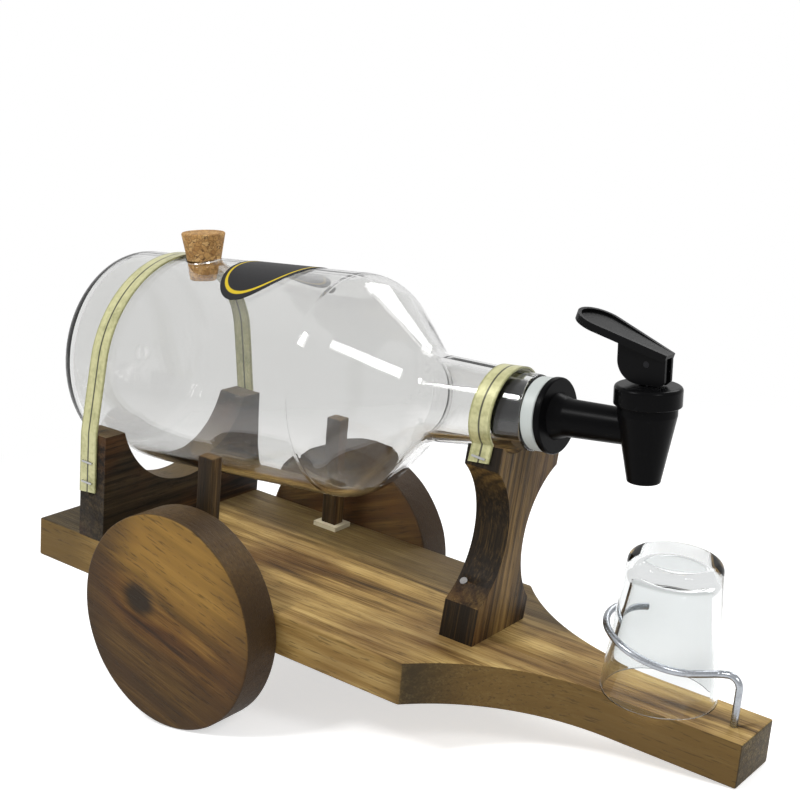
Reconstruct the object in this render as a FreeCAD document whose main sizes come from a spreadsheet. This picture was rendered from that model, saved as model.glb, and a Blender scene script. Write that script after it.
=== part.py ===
import FreeCAD, Part
import math
import os
from types import SimpleNamespace

import Sketcher

# Liquor dispenser on a two-wheeled scorched-wood cart.
# A glass bottle lies on a rear saddle and a front post, a plastic tap closes its neck,
# and an upturned shot glass stands on the tongue inside a wire clip.
#
# Deck frame: x runs forward from the rear end of the deck, y = 0 is its centre line,
# z = 0 is its upper face, and the near side is -y.  The finished cart is then pitched
# nose-down until it stands on its wheels and on the tip of the tongue.

Vector = FreeCAD.Vector
Rotation = FreeCAD.Rotation
Placement = FreeCAD.Placement

SIZES = [
    ("deck_length", 353.0, "board, rear end to tongue tip"),
    ("deck_width", 110.4, "board, side to side"),
    ("deck_thickness", 19.0, "board"),
    ("near_taper_start", 219.0, "x where the near side starts to narrow"),
    ("near_taper_end", 296.0, "x where the near side of the tongue runs straight"),
    ("near_tongue_half", 16.5, "centre line to the near side of the tongue"),
    ("far_taper_start", 214.0, "x where the far side starts to narrow"),
    ("far_taper_end", 305.0, "x where the far side of the tongue runs straight"),
    ("far_tongue_half", 13.3, "centre line to the far side of the tongue"),
    ("wheel_radius", 49.9, "wooden disc"),
    ("wheel_thickness", 19.4, "wooden disc"),
    ("wheel_rim_round", 1.2, "worn edge of the disc"),
    ("wheel_gap", 0.4, "wheel to the side of the deck"),
    ("axle_back", 103.7, "x of the axle"),
    ("axle_depth", 14.5, "axle below the upper face of the deck"),
    ("axle_radius", 2.5, "steel rod"),
    ("axle_bite", 13.5, "rod inside each wheel"),
    ("running_gap", 0.06, "radial, shaft in its hole"),
    ("glue_line", 0.03, "radial, glued or pressed parts"),
    ("saddle_back", 27.5, "x of the rear face of the saddle"),
    ("saddle_thickness", 16.1, "saddle board"),
    ("saddle_height", 52.2, "top of the horns"),
    ("saddle_horn_width", 12.3, "flat top of each horn"),
    ("saddle_floor", 20.5, "lowest place of the hollow"),
    ("post_inset", 26.5, "rear face of the post behind the end of the bottle"),
    ("post_thickness", 17.0, "post board"),
    ("notch_depth", 5.0, "post above the underside of the neck"),
    ("post_foot_half", 20.5, "half width of the foot"),
    ("post_head_half", 24.5, "half width of the head"),
    ("post_waist_half", 7.0, "half width of the waist"),
    ("post_waist_height", 42.0, "height of the waist"),
    ("post_scoop_radius", 37.3, "hollow in each side of the post"),
    ("post_lean", 8.5, "degrees towards the far side"),
    ("stake_length", 8.6, "along x"),
    ("stake_width", 6.8, "along y"),
    ("stake_height", 56.0, "above the deck"),
    ("near_stake_back", 95.0, "x of the rear face"),
    ("far_stake_back", 98.7, "x of the rear face"),
    ("stake_glue_spread", 2.6, "glue beyond the foot of a stake"),
    ("stake_glue_height", 2.2, "glue above the deck"),
    ("bottle_back", 5.0, "x of the centre of the base"),
    ("bottle_height", 76.3, "centre of the base above the deck"),
    ("bottle_rise", 6.255, "degrees, base to neck"),
    ("bottle_radius", 50.6, "body of the bottle"),
    ("bottle_body", 140.3, "base to the ring where the shoulder starts"),
    ("bottle_length", 235.5, "base to mouth"),
    ("bottle_wall", 3.0, "glass"),
    ("bottle_base", 4.5, "glass at the base"),
    ("bottle_punt", 4.0, "push-up of the base"),
    ("bottle_foot_radius", 36.0, "ring that the bottle would stand on"),
    ("heel_round", 9.0, "outer edge of the base"),
    ("shoulder_round", 22.0, "body into shoulder"),
    ("shoulder_slope", 43.0, "degrees"),
    ("neck_sweep", 14.0, "shoulder into neck"),
    ("neck_root_radius", 19.4, "neck at the shoulder"),
    ("neck_radius", 16.0, "neck at the mouth"),
    ("neck_wall", 3.4, "glass at the mouth"),
    ("cork_station", 49.8, "base to the centre of the filling hole"),
    ("cork_hole_radius", 8.5, "filling hole"),
    ("cork_gap", 0.3, "cork in its hole"),
    ("cork_stand", 12.3, "cork above the glass"),
    ("cork_reach", 11.0, "cork below the top of the glass"),
    ("cork_taper", 0.19, "radius gained per length"),
    ("bung_length", 16.0, "rubber stopper in the neck"),
    ("bung_inset", 0.4, "stopper behind the mouth"),
    ("tail_radius", 7.0, "threaded tail of the tap"),
    ("tail_length", 24.0, "tail behind the flange"),
    ("passage_radius", 3.5, "liquor way through the tail"),
    ("washer_radius", 15.5, "silicone washer"),
    ("washer_thickness", 6.3, "silicone washer"),
    ("face_gap", 0.1, "between stacked faces"),
    ("flange_radius", 16.0, "tap flange"),
    ("flange_thickness", 3.0, "tap flange"),
    ("hub_radius", 10.0, "where the trumpet meets the flange"),
    ("hub_length", 5.0, "trumpet from flange to shank"),
    ("shank_radius", 7.9, "rear end of the shank"),
    ("shank_front_radius", 7.2, "front end of the shank"),
    ("spout_reach", 49.5, "mouth of the bottle to the spout axis"),
    ("spout_lean", 4.5, "degrees, spout axis back from square to the deck"),
    ("spout_drop", 21.4, "shank axis to the end of the spout"),
    ("spout_tip_radius", 6.7, "end of the spout"),
    ("spout_top_radius", 12.0, "under the collar"),
    ("spout_band", 3.5, "straight band under the collar"),
    ("outlet_radius", 5.2, "hole of the spout"),
    ("chamber_radius", 8.0, "valve chamber"),
    ("seat_depth", 6.0, "valve seat below the shank axis"),
    ("collar_radius", 13.6, "screw cap of the tap"),
    ("collar_foot", 10.2, "lower edge above the shank axis"),
    ("collar_height", 8.0, "screw cap"),
    ("collar_round", 1.6, "upper edge of the cap"),
    ("collar_roof", 4.6, "top plate of the cap"),
    ("collar_mouth_radius", 4.2, "opening for the lever"),
    ("boss_radius", 10.5, "threaded top of the tap body"),
    ("seal_thickness", 2.4, "stem seal"),
    ("stem_radius", 1.6, "valve rod"),
    ("stem_tab_length", 5.2, "flat eye of the rod, along x"),
    ("stem_tab_width", 3.2, "flat eye of the rod, along y"),
    ("pin_height", 26.9, "lever pin above the shank axis"),
    ("pin_radius", 1.25, "lever pin"),
    ("cup_radius", 6.8, "silicone valve cup"),
    ("cup_height", 4.0, "silicone valve cup"),
    ("lever_width", 6.8, "cheeks of the lever, outside"),
    ("lever_slot", 3.9, "between the cheeks"),
    ("lever_play", 0.5, "eye of the rod to the lever above it"),
    ("lever_heel", 9.0, "round of the lower rear corner of the lever"),
    ("lever_toe", 2.0, "bevel of the lower front corner of the lever"),
    ("lever_foot_gap", 0.4, "lever above the cap"),
    ("lever_travel", 25.0, "degrees, from rest to pressed"),
    ("lever_back", 12.7, "pin to the rear face of the block"),
    ("lever_front", 8.2, "pin to the front face of the block"),
    ("lever_top", 7.6, "pin to the top of the paddle above it"),
    ("paddle_pitch", 18.7, "degrees, paddle up to its tip"),
    ("paddle_reach", 34.4, "pin to the tip of the paddle"),
    ("paddle_tip_radius", 10.2, "round end of the paddle"),
    ("paddle_nose_half", 3.6, "half width at the front"),
    ("paddle_thickness", 3.2, "paddle"),
    ("paddle_dish", 1.4, "depth of the thumb hollow at the tip"),
    ("paddle_rim", 1.5, "rim round the thumb hollow"),
    ("glass_from_tip", 44.4, "centre of the shot glass to the tip of the tongue"),
    ("glass_rim_radius", 24.0, "mouth, which stands on the deck"),
    ("glass_base_radius", 18.9, "base, which is uppermost"),
    ("glass_height", 59.5, "shot glass"),
    ("glass_wall", 1.9, "wall at the mouth"),
    ("glass_bore_radius", 15.2, "inside radius at the base"),
    ("glass_base", 9.0, "thick base"),
    ("glass_lift", 0.3, "glass above the deck"),
    ("wire_radius", 1.5, "galvanised wire"),
    ("wire_gap", 1.3, "wire ring to the glass"),
    ("wire_height", 24.6, "ring above the deck at its centre"),
    ("wire_fall", 11.5, "degrees, ring down to the front"),
    ("wire_foot_reach", 10.5, "foot of the wire ahead of the ring"),
    ("wire_foot_side", 4.0, "foot of the wire towards the near side"),
    ("wire_foot_depth", 13.0, "wire inside the deck"),
    ("wire_rise", 2.2, "top of the upright above the start of the ring"),
    ("wire_knee_round", 4.5, "bend at the top of the upright"),
    ("wire_hip_round", 4.0, "bend into the ring"),
    ("wire_start", -32.0, "degrees, ring starts"),
    ("wire_end", -222.0, "degrees, ring ends"),
    ("strap_width", 10.2, "metal band"),
    ("strap_thickness", 0.8, "metal band"),
    ("strap_gap", 0.25, "band to glass and wood"),
    ("rear_strap_forward", 33.2, "x of the middle of the rear band"),
    ("rear_strap_end", 23.0, "lower end above the deck"),
    ("front_strap_inset", 16.9, "middle of the front band behind the mouth"),
    ("front_strap_rake", 10.0, "degrees, band forward from square to the neck"),
    ("front_strap_leg", 14.0, "band down the side of the post"),
    ("staple_crown", 6.6, "staple back"),
    ("staple_wire", 0.9, "staple wire"),
    ("staple_leg", 5.6, "staple leg"),
    ("staple_edge", 2.3, "lower end of the front strap to its staple"),
    ("rear_staple_low", 28.0, "lower staple above the deck"),
    ("rear_staple_high", 38.0, "upper staple above the deck"),
    ("screw_radius", 1.75, "wood screws from below"),
    ("screw_head_radius", 3.6, "wood screws from below"),
    ("screw_head_depth", 2.4, "wood screws from below"),
    ("screw_grip", 14.0, "screw inside the upright board"),
    ("screw_sink", 0.4, "screw head below the lower face"),
    ("saddle_screw_half", 27.0, "centre line to a saddle screw"),
    ("post_screw_half", 9.0, "centre line to a post screw"),
    ("nail_radius", 0.8, "toe nails of the post"),
    ("nail_head_radius", 1.7, "toe nails of the post"),
    ("nail_length", 37.0, "toe nails of the post"),
    ("nail_head_height", 0.7, "toe nails of the post"),
    ("nail_height", 21.0, "nail head above the deck"),
    ("nail_slope", 45.0, "degrees below level"),
    ("nail_stagger", 5.0, "each nail from the middle of the post"),
    ("label_station", 95.6, "base to the centre of the label"),
    ("label_half_length", 20.2, "oval label along the bottle"),
    ("label_half_width", 32.3, "oval label across the bottle, flat"),
    ("label_thickness", 0.2, "paper"),
]

doc = FreeCAD.newDocument("dispenser_cart")
sheet = doc.addObject("Spreadsheet::Sheet", "Sizes")
for row, (name, value, note) in enumerate(SIZES, 1):
    sheet.set(f"A{row}", note)
    sheet.set(f"B{row}", str(value))
    sheet.setAlias(f"B{row}", name)
doc.recompute()

cell = SimpleNamespace(**{name: f"Sizes.{name}" for name, _, _ in SIZES})
size = SimpleNamespace(**{name: float(sheet.get(name)) for name, _, _ in SIZES})
nodes = []


# Helpers

def number(expression):
    """Value of an expression on the size sheet."""
    return float(sheet.evalExpression(expression))


def bind(item, **sizes):
    """Tie properties of an object to expressions on the size sheet."""
    for name, expression in sizes.items():
        item.setExpression(name, expression)
    return item


def at(item, x="0", y="0", z="0"):
    """Tie the place of a primitive to expressions on the size sheet."""
    item.setExpression("Placement.Base.x", x)
    item.setExpression("Placement.Base.y", y)
    item.setExpression("Placement.Base.z", z)
    return item


def box(name, length, width, height, x="0", y="0", z="0"):
    """Box from its lowest corner."""
    item = doc.addObject("Part::Box", name)
    return at(bind(item, Length=length, Width=width, Height=height), x, y, z)


def rod(name, radius, height, x="0", y="0", z="0", along=Vector(0, 0, 1)):
    """Round bar that starts at a point and runs along a direction."""
    item = doc.addObject("Part::Cylinder", name)
    item.Placement = Placement(Vector(), Rotation(Vector(0, 0, 1), along))
    return at(bind(item, Radius=radius, Height=height), x, y, z)


def cut(name, base, *tools):
    """Base less all the tools."""
    item = doc.addObject("Part::Cut", name)
    item.Base = base
    item.Tool = tools[0] if len(tools) == 1 else fuse(name + "_tools", *tools)
    return item


def fuse(name, *items):
    """Several shapes joined in one."""
    item = doc.addObject("Part::MultiFuse", name)
    item.Shapes = list(items)
    return item


def group(name, *items):
    """Several separate solids under one name."""
    item = doc.addObject("Part::Compound", name)
    item.Links = list(items)
    return item


def solid(name, shape, placement=None):
    """Shape that is worked out in code."""
    item = doc.addObject("Part::Feature", name)
    item.Shape = shape
    if placement:
        item.Placement = placement
    return item


def unit(a, b):
    """Direction from one flat point to another."""
    span = math.hypot(b[0] - a[0], b[1] - a[1])
    return (b[0] - a[0]) / span, (b[1] - a[1]) / span


def rounded_corner(before, corner, after, radius):
    """Start, middle and end of the arc that rounds a flat corner, and its centre."""
    back = unit(corner, before)
    ahead = unit(corner, after)
    half = math.acos(back[0] * ahead[0] + back[1] * ahead[1]) / 2
    run = radius / math.tan(half)
    middle = unit((0, 0), (back[0] + ahead[0], back[1] + ahead[1]))
    centre = [corner[i] + middle[i] * radius / math.sin(half) for i in (0, 1)]
    start = [corner[i] + back[i] * run for i in (0, 1)]
    end = [corner[i] + ahead[i] * run for i in (0, 1)]
    return start, end, centre


def outline(sketch, corners):
    """Closed outline through corners (x, y) or (x, y, radius), all of them expressions."""
    flat = [(number(corner[0]), number(corner[1])) for corner in corners]
    count = len(corners)
    ends = []
    for i, corner in enumerate(corners):
        if len(corner) == 2:
            ends.append((flat[i], flat[i], None))
        else:
            ends.append(rounded_corner(flat[i - 1], flat[i], flat[(i + 1) % count], number(corner[2])))
    lines = []
    for i in range(count):
        start = Vector(*ends[i][1], 0)
        end = Vector(*ends[(i + 1) % count][0], 0)
        lines.append(sketch.addGeometry(Part.LineSegment(start, end), False))
    for i, corner in enumerate(corners):
        before = lines[i - 1]
        after = lines[i]
        start, end, centre = ends[i]
        if centre is None:
            sketch.addConstraint(Sketcher.Constraint("Coincident", before, 2, after, 1))
            place, mark = after, 1
        else:
            place, mark = round_off(sketch, before, after, flat[i], start, end, centre, corner[2]), 1
        hold(sketch, "DistanceX", place, mark, flat[i][0], corner[0])
        hold(sketch, "DistanceY", place, mark, flat[i][1], corner[1])


def round_off(sketch, before, after, corner, start, end, centre, radius):
    """Arc between two lines of a sketch; returns the point that marks their corner."""
    turn_start = math.atan2(start[1] - centre[1], start[0] - centre[0])
    turn_end = math.atan2(end[1] - centre[1], end[0] - centre[0])
    left = (turn_end - turn_start) % (2 * math.pi) < math.pi
    circle = Part.Circle(Vector(*centre, 0), Vector(0, 0, 1), number(radius))
    if left:
        arc = Part.ArcOfCircle(circle, turn_start, turn_end)
    else:
        arc = Part.ArcOfCircle(circle, turn_end, turn_start)
    bend = sketch.addGeometry(arc, False)
    first, last = (1, 2) if left else (2, 1)
    sketch.addConstraint(Sketcher.Constraint("Tangent", before, 2, bend, first))
    sketch.addConstraint(Sketcher.Constraint("Tangent", bend, last, after, 1))
    named(sketch, Sketcher.Constraint("Radius", bend, number(radius)), radius)
    mark = sketch.addGeometry(Part.Point(Vector(*corner, 0)), True)
    sketch.addConstraint(Sketcher.Constraint("PointOnObject", mark, 1, before))
    sketch.addConstraint(Sketcher.Constraint("PointOnObject", mark, 1, after))
    return mark


def hold(sketch, kind, geometry, mark, value, expression):
    """Hold one coordinate of a sketch point; a point on an axis needs no number."""
    if abs(value) < 1e-9:
        axis = -2 if kind == "DistanceX" else -1
        sketch.addConstraint(Sketcher.Constraint("PointOnObject", geometry, mark, axis))
    else:
        named(sketch, Sketcher.Constraint(kind, geometry, mark, value), expression)


def named(sketch, constraint, expression):
    """Add a constraint whose value follows an expression."""
    index = sketch.addConstraint(constraint)
    sketch.renameConstraint(index, f"size_{index}")
    sketch.setExpression(f"Constraints.size_{index}", expression)


def turned(name, corners, upright=True, placement=None):
    """Turned body.  Corners are (radius, height) upright, or (station, radius) lying along x."""
    body = doc.addObject("PartDesign::Body", name)
    sketch = body.newObject("Sketcher::SketchObject", name + "_profile")
    plane = next(item for item in body.Origin.OriginFeatures if item.Role == "XZ_Plane")
    sketch.AttachmentSupport = [(plane, "")]
    sketch.MapMode = "FlatFace"
    outline(sketch, corners)
    spin = body.newObject("PartDesign::Revolution", name + "_turn")
    spin.Profile = sketch
    spin.ReferenceAxis = (sketch, ["V_Axis" if upright else "H_Axis"])
    spin.Angle = 360
    if placement:
        body.Placement = placement
    return body


def keep(name, item, placement):
    """Give a finished piece its name and its place in the standing cart."""
    if item.ExpressionEngine:
        item = group(name + "_piece", item)
    item.Label = name
    item.Placement = placement.multiply(item.Placement)
    nodes.append(item)
    return item


def plus(*terms):
    """Sum of expressions."""
    return " + ".join(f"({term})" for term in terms)


def less(first, *terms):
    """First expression less the others."""
    return f"({first})" + "".join(f" - ({term})" for term in terms)


def times(factor, term):
    """Expression times a number."""
    return f"{factor} * ({term})"


# Where the cart stands: the wheels and the lower edge of the tongue tip touch the floor

tongue_run = size.deck_length - size.axle_back
tongue_drop = size.deck_thickness - size.axle_depth
cart_tilt = math.asin(size.wheel_radius / math.hypot(tongue_run, tongue_drop)) \
    - math.atan2(tongue_drop, tongue_run)
cart_turn = Rotation(Vector(0, 1, 0), math.degrees(cart_tilt))
tongue_edge = cart_turn.multVec(Vector(size.deck_length, 0, -size.deck_thickness))
front_edge = cart_turn.multVec(Vector(size.deck_length, 0, 0))
rear_edge = cart_turn.multVec(Vector(0, 0, -size.deck_thickness))
cart = Placement(Vector(-(front_edge.x + rear_edge.x) / 2, 0, -tongue_edge.z), cart_turn)

# The bottle lies along the x axis of its own frame, with its base at the origin

bottle_place = Placement(
    Vector(size.bottle_back, 0, size.bottle_height),
    Rotation(Vector(0, 1, 0), -size.bottle_rise),
)
bottle_frame = cart.multiply(bottle_place)

# The shot glass and the centre line of the wire ring around it

glass_centre = size.deck_length - size.glass_from_tip
glass_slope = (size.glass_rim_radius - size.glass_base_radius) / size.glass_height
wire_loop = size.glass_rim_radius - glass_slope * size.wire_height + size.wire_gap + size.wire_radius
wire_foot = glass_centre + wire_loop + size.wire_foot_reach

# The spout has its own frame: z up its axis, origin where the axis meets that of the shank

spout_in_bottle = Placement(
    Vector(size.bottle_length + size.spout_reach, 0, 0),
    Rotation(Vector(0, 1, 0), size.bottle_rise - size.spout_lean),
)
spout_frame = bottle_frame.multiply(spout_in_bottle)


# Deck

def deck_side_tools(side, start, end, half):
    """Scoop and strip that narrow one side of the deck to the tongue."""
    step = less(times(0.5, cell.deck_width), half)
    radius = f"(({end} - {start}) ^ 2 + ({step}) ^ 2) / (2 * ({step}))"
    name = "near" if side < 0 else "far"
    middle = times(side, plus(half, radius))
    low = times(-1, cell.deck_thickness)
    scoop = rod(f"{name}_scoop", radius, cell.deck_thickness, end, middle, low)
    edge = times(side, half) if side > 0 else times(-0.5, cell.deck_width)
    strip = box(f"{name}_strip", less(cell.deck_length, end), step, cell.deck_thickness, end, edge, low)
    return scoop, strip


def countersunk_way(name, x, y, top):
    """Hole for a wood screw, from the lower face of the deck up into the board above."""
    wide = plus(cell.screw_head_radius, cell.glue_line)
    narrow = plus(cell.screw_radius, cell.glue_line)
    low = times(-1, cell.deck_thickness)
    mouth = rod(name + "_mouth", wide, cell.screw_sink, x, y, low)
    sink = doc.addObject("Part::Cone", name + "_sink")
    bind(sink, Radius1=wide, Radius2=narrow, Height=cell.screw_head_depth)
    at(sink, x, y, plus(low, cell.screw_sink))
    way = rod(name + "_way", narrow, plus(cell.deck_thickness, top), x, y, low)
    return fuse(name, mouth, sink, way)


saddle_middle = plus(cell.saddle_back, times(0.5, cell.saddle_thickness))
post_back = less(plus(cell.bottle_back, cell.bottle_length), cell.post_inset)
post_middle = plus(post_back, times(0.5, cell.post_thickness))
neck_axis_at_post = f"({cell.bottle_height} + ({post_middle} - {cell.bottle_back}) * tan({cell.bottle_rise}))"
post_height = less(plus(neck_axis_at_post, cell.notch_depth), cell.neck_radius)
SCREWS = {
    "saddle": [(saddle_middle, times(side, cell.saddle_screw_half)) for side in (-1, 1)],
    "post": [(post_middle, times(side, cell.post_screw_half)) for side in (-1, 1)],
}


def screw_ways(board, owner):
    """Holes of all the screws that hold one upright board."""
    reach = plus(cell.screw_grip, times(3, cell.glue_line))
    return [
        countersunk_way(f"{owner}_{board}_hole_{i}", x, y, reach)
        for i, (x, y) in enumerate(SCREWS[board])
    ]


def build_deck():
    """Board with a scooped taper, the axle bore, the wire hole and the screw holes."""
    board = box("board", cell.deck_length, cell.deck_width, cell.deck_thickness,
                y=times(-0.5, cell.deck_width), z=times(-1, cell.deck_thickness))
    tools = list(deck_side_tools(-1, cell.near_taper_start, cell.near_taper_end, cell.near_tongue_half))
    tools += deck_side_tools(1, cell.far_taper_start, cell.far_taper_end, cell.far_tongue_half)
    tools.append(rod("axle_bore", plus(cell.axle_radius, cell.running_gap), cell.deck_width,
                     cell.axle_back, times(-0.5, cell.deck_width), times(-1, cell.axle_depth),
                     Vector(0, 1, 0)))
    tools.append(rod("wire_hole", plus(cell.wire_radius, cell.glue_line), cell.wire_foot_depth,
                     str(wire_foot), times(-1, cell.wire_foot_side),
                     times(-1, cell.wire_foot_depth)))
    tools += screw_ways("saddle", "deck") + screw_ways("post", "deck") + nail_ways("deck")
    keep("deck", cut("deck_board", board, *tools), cart)


# Saddle

def bottle_clearance(name):
    """Bar along the bottle that clears room for its body."""
    item = doc.addObject("Part::Cylinder", name)
    bind(item, Radius=plus(cell.bottle_radius, cell.strap_gap), Height=cell.bottle_length)
    item.Placement = bottle_place.multiply(Placement(Vector(), Rotation(Vector(0, 0, 1), Vector(1, 0, 0))))
    return item


def build_saddle():
    """Upright board across the rear, hollowed between two horns that carry the bottle."""
    board = box("saddle_blank", cell.saddle_thickness, cell.deck_width, cell.saddle_height,
                x=cell.saddle_back, y=times(-0.5, cell.deck_width))
    rise = less(cell.saddle_height, cell.saddle_floor)
    half = less(times(0.5, cell.deck_width), cell.saddle_horn_width)
    radius = f"(({half}) ^ 2 + ({rise}) ^ 2) / (2 * ({rise}))"
    hollow = rod("saddle_hollow", radius, cell.saddle_thickness, cell.saddle_back, "0",
                 plus(cell.saddle_floor, radius), Vector(1, 0, 0))
    tools = [hollow, bottle_clearance("saddle_bottle_room")]
    tools += screw_ways("saddle", "saddle") + rear_staples
    keep("rear_saddle", cut("saddle_board", board, *tools), cart)


# Post

post_turn = Placement(Vector(), Rotation(Vector(1, 0, 0), -size.post_lean))


def build_post():
    """Waisted upright board whose notched head carries the neck of the bottle."""
    foot = box("post_foot", cell.post_thickness, times(2, cell.post_foot_half),
               plus(cell.post_waist_height, cell.deck_thickness),
               x=post_back, y=times(-1, cell.post_foot_half), z=times(-1, cell.deck_thickness))
    head = box("post_head", cell.post_thickness, times(2, cell.post_head_half),
               less(post_height, cell.post_waist_height),
               x=post_back, y=times(-1, cell.post_head_half), z=cell.post_waist_height)
    scoops = [
        rod(f"post_scoop_{i}", cell.post_scoop_radius, cell.post_thickness, post_back,
            times(side, plus(cell.post_waist_half, cell.post_scoop_radius)),
            cell.post_waist_height, Vector(1, 0, 0))
        for i, side in enumerate((-1, 1))
    ]
    waisted = cut("post_waisted", fuse("post_blank", foot, head), *scoops)
    waisted.Placement = post_turn
    floor = box("under_post", times(2, cell.post_thickness), cell.deck_width,
                times(2, cell.deck_thickness), x=less(post_back, times(0.5, cell.post_thickness)),
                y=times(-0.5, cell.deck_width), z=times(-2, cell.deck_thickness))
    notch = doc.addObject("Part::Cylinder", "neck_notch")
    bind(notch, Radius=plus(neck_radius_at(f"({post_middle} - {cell.bottle_back} - {cell.post_thickness})"),
                            cell.strap_gap), Height=cell.bottle_length)
    notch.Placement = bottle_place.multiply(Placement(Vector(), Rotation(Vector(0, 0, 1), Vector(1, 0, 0))))
    tools = [floor, notch] + screw_ways("post", "post") + nail_ways("post") + front_staples
    keep("front_post", cut("post_board", waisted, *tools), cart)


# Fasteners of the woodwork

def build_screws():
    """Countersunk wood screws driven up through the deck."""
    head = plus(times(-1, cell.deck_thickness), cell.screw_sink)
    neck = plus(head, cell.screw_head_depth)
    for board, places in SCREWS.items():
        screws = []
        for i, (x, y) in enumerate(places):
            place = Placement(Vector(number(x), number(y), 0), Rotation())
            screws.append(turned(f"{board}_screw_{i}", [
                ("0", head),
                (cell.screw_head_radius, head),
                (cell.screw_radius, neck),
                (cell.screw_radius, less(cell.screw_grip, times(2, cell.screw_radius))),
                ("0", cell.screw_grip),
            ], placement=place))
        keep(f"{board}_screws", group(f"{board}_screw_pair", *screws), cart)


def nail_place(side):
    """Place of a nail: z runs from its head along its shank."""
    rise = size.post_waist_height - size.nail_height
    reach = size.post_scoop_radius + size.post_waist_half - math.sqrt(size.post_scoop_radius**2 - rise**2)
    slope = math.radians(size.nail_slope)
    inward = Vector(0, -side * math.cos(slope), -math.sin(slope))
    x = number(post_middle) + side * size.nail_stagger
    head = Vector(x, side * reach, size.nail_height) - inward * size.nail_head_height
    return post_turn.multiply(Placement(head, Rotation(Vector(0, 0, 1), inward)))


def nail_ways(owner):
    """Holes of the toe nails, each with the flat that its head is driven into."""
    ways = []
    for i, side in enumerate((-1, 1)):
        for part, radius, length in (
            ("head", plus(cell.nail_head_radius, cell.glue_line), cell.nail_head_height),
            ("shank", plus(cell.nail_radius, cell.glue_line), plus(cell.nail_length, cell.face_gap)),
        ):
            way = doc.addObject("Part::Cylinder", f"{owner}_nail_{part}_way_{i}")
            bind(way, Radius=radius, Height=length)
            way.Placement = nail_place(side)
            ways.append(way)
    return ways


def build_post_nails():
    """One nail on each side, slanting through the foot of the post into the deck."""
    nails = []
    for i, side in enumerate((-1, 1)):
        nails.append(turned(f"post_nail_{i}", [
            ("0", "0"),
            (cell.nail_head_radius, "0"),
            (cell.nail_head_radius, cell.nail_head_height),
            (cell.nail_radius, cell.nail_head_height),
            (cell.nail_radius, less(cell.nail_length, times(2, cell.nail_radius))),
            ("0", cell.nail_length),
        ], placement=nail_place(side)))
    keep("post_nails", group("post_nail_pair", *nails), cart)


# Stakes

def stake_inner(back):
    """Centre line to the inner face of a stake whose top inner edge touches the bottle."""
    along = f"({back} - {cell.bottle_back})"
    axis = f"({cell.bottle_height} + {along} * tan({cell.bottle_rise}))"
    drop = f"(({axis} - {cell.stake_height}) * cos({cell.bottle_rise}))"
    room = plus(cell.bottle_radius, cell.strap_gap)
    return f"sqrt(({room}) ^ 2 - {drop} ^ 2)"


def build_stakes():
    """Two square pegs that steady the bottle, each in a bead of glue."""
    beads = []
    for side, name, back in ((-1, "near", cell.near_stake_back), (1, "far", cell.far_stake_back)):
        inner = stake_inner(back)
        low_y = times(side, inner) if side > 0 else times(-1, plus(inner, cell.stake_width))
        stake = box(f"{name}_stake", cell.stake_length, cell.stake_width, cell.stake_height, x=back, y=low_y)
        spread = cell.stake_glue_spread
        puddle = box(f"{name}_glue", plus(cell.stake_length, times(2, spread)),
                     plus(cell.stake_width, times(2, spread)), cell.stake_glue_height,
                     x=less(back, spread), y=less(low_y, spread))
        pad = doc.addObject("Part::Common", f"{name}_glue_on_deck")
        pad.Base = puddle
        pad.Tool = box(f"over_{name}_deck", cell.deck_length, cell.deck_width, cell.stake_glue_height,
                       y=times(-0.5, cell.deck_width))
        hole = box(f"{name}_glue_hole", cell.stake_length, cell.stake_width, cell.stake_glue_height,
                   x=back, y=low_y)
        beads.append(cut(f"{name}_bead", pad, hole))
        keep(f"side_stake_{name}", stake, cart)
    keep("stake_glue", group("glue_beads", *beads), cart)


# Wheels

def build_wheels():
    """Two wooden discs glued to the ends of a steel rod that turns in the deck."""
    bore = plus(cell.axle_radius, cell.glue_line)
    bottom = less(cell.wheel_thickness, plus(cell.axle_bite, cell.face_gap))
    for side, name in ((-1, "near"), (1, "far")):
        outer_face = side * (size.deck_width / 2 + size.wheel_gap + size.wheel_thickness)
        place = Placement(Vector(size.axle_back, outer_face, -size.axle_depth),
                          Rotation(Vector(0, 0, 1), Vector(0, -side, 0)))
        wheel = turned(f"{name}_wheel", [
            ("0", "0"),
            (cell.wheel_radius, "0", cell.wheel_rim_round),
            (cell.wheel_radius, cell.wheel_thickness, cell.wheel_rim_round),
            (bore, cell.wheel_thickness),
            (bore, bottom),
            ("0", bottom),
        ], placement=place)
        keep(f"wheel_{name}", wheel, cart)
    length = plus(cell.deck_width, times(2, plus(cell.wheel_gap, cell.axle_bite)))
    axle = rod("axle_rod", cell.axle_radius, length, cell.axle_back, times(-0.5, length),
               times(-1, cell.axle_depth), Vector(0, 1, 0))
    keep("wheel_axle", axle, cart)


# Bottle

shoulder_tan = f"tan({cell.shoulder_slope})"
shoulder_corner = f"({cell.bottle_body} + {cell.shoulder_round} * tan({cell.shoulder_slope} / 2))"
neck_corner = f"({shoulder_corner} + ({cell.bottle_radius} - {cell.neck_root_radius}) / {shoulder_tan})"


def neck_radius_at(station):
    """Outer radius of the neck, which narrows evenly from the shoulder to the mouth."""
    return (f"({cell.neck_root_radius} - ({cell.neck_root_radius} - {cell.neck_radius})"
            f" * ({station} - {neck_corner}) / ({cell.bottle_length} - {neck_corner}))")


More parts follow.
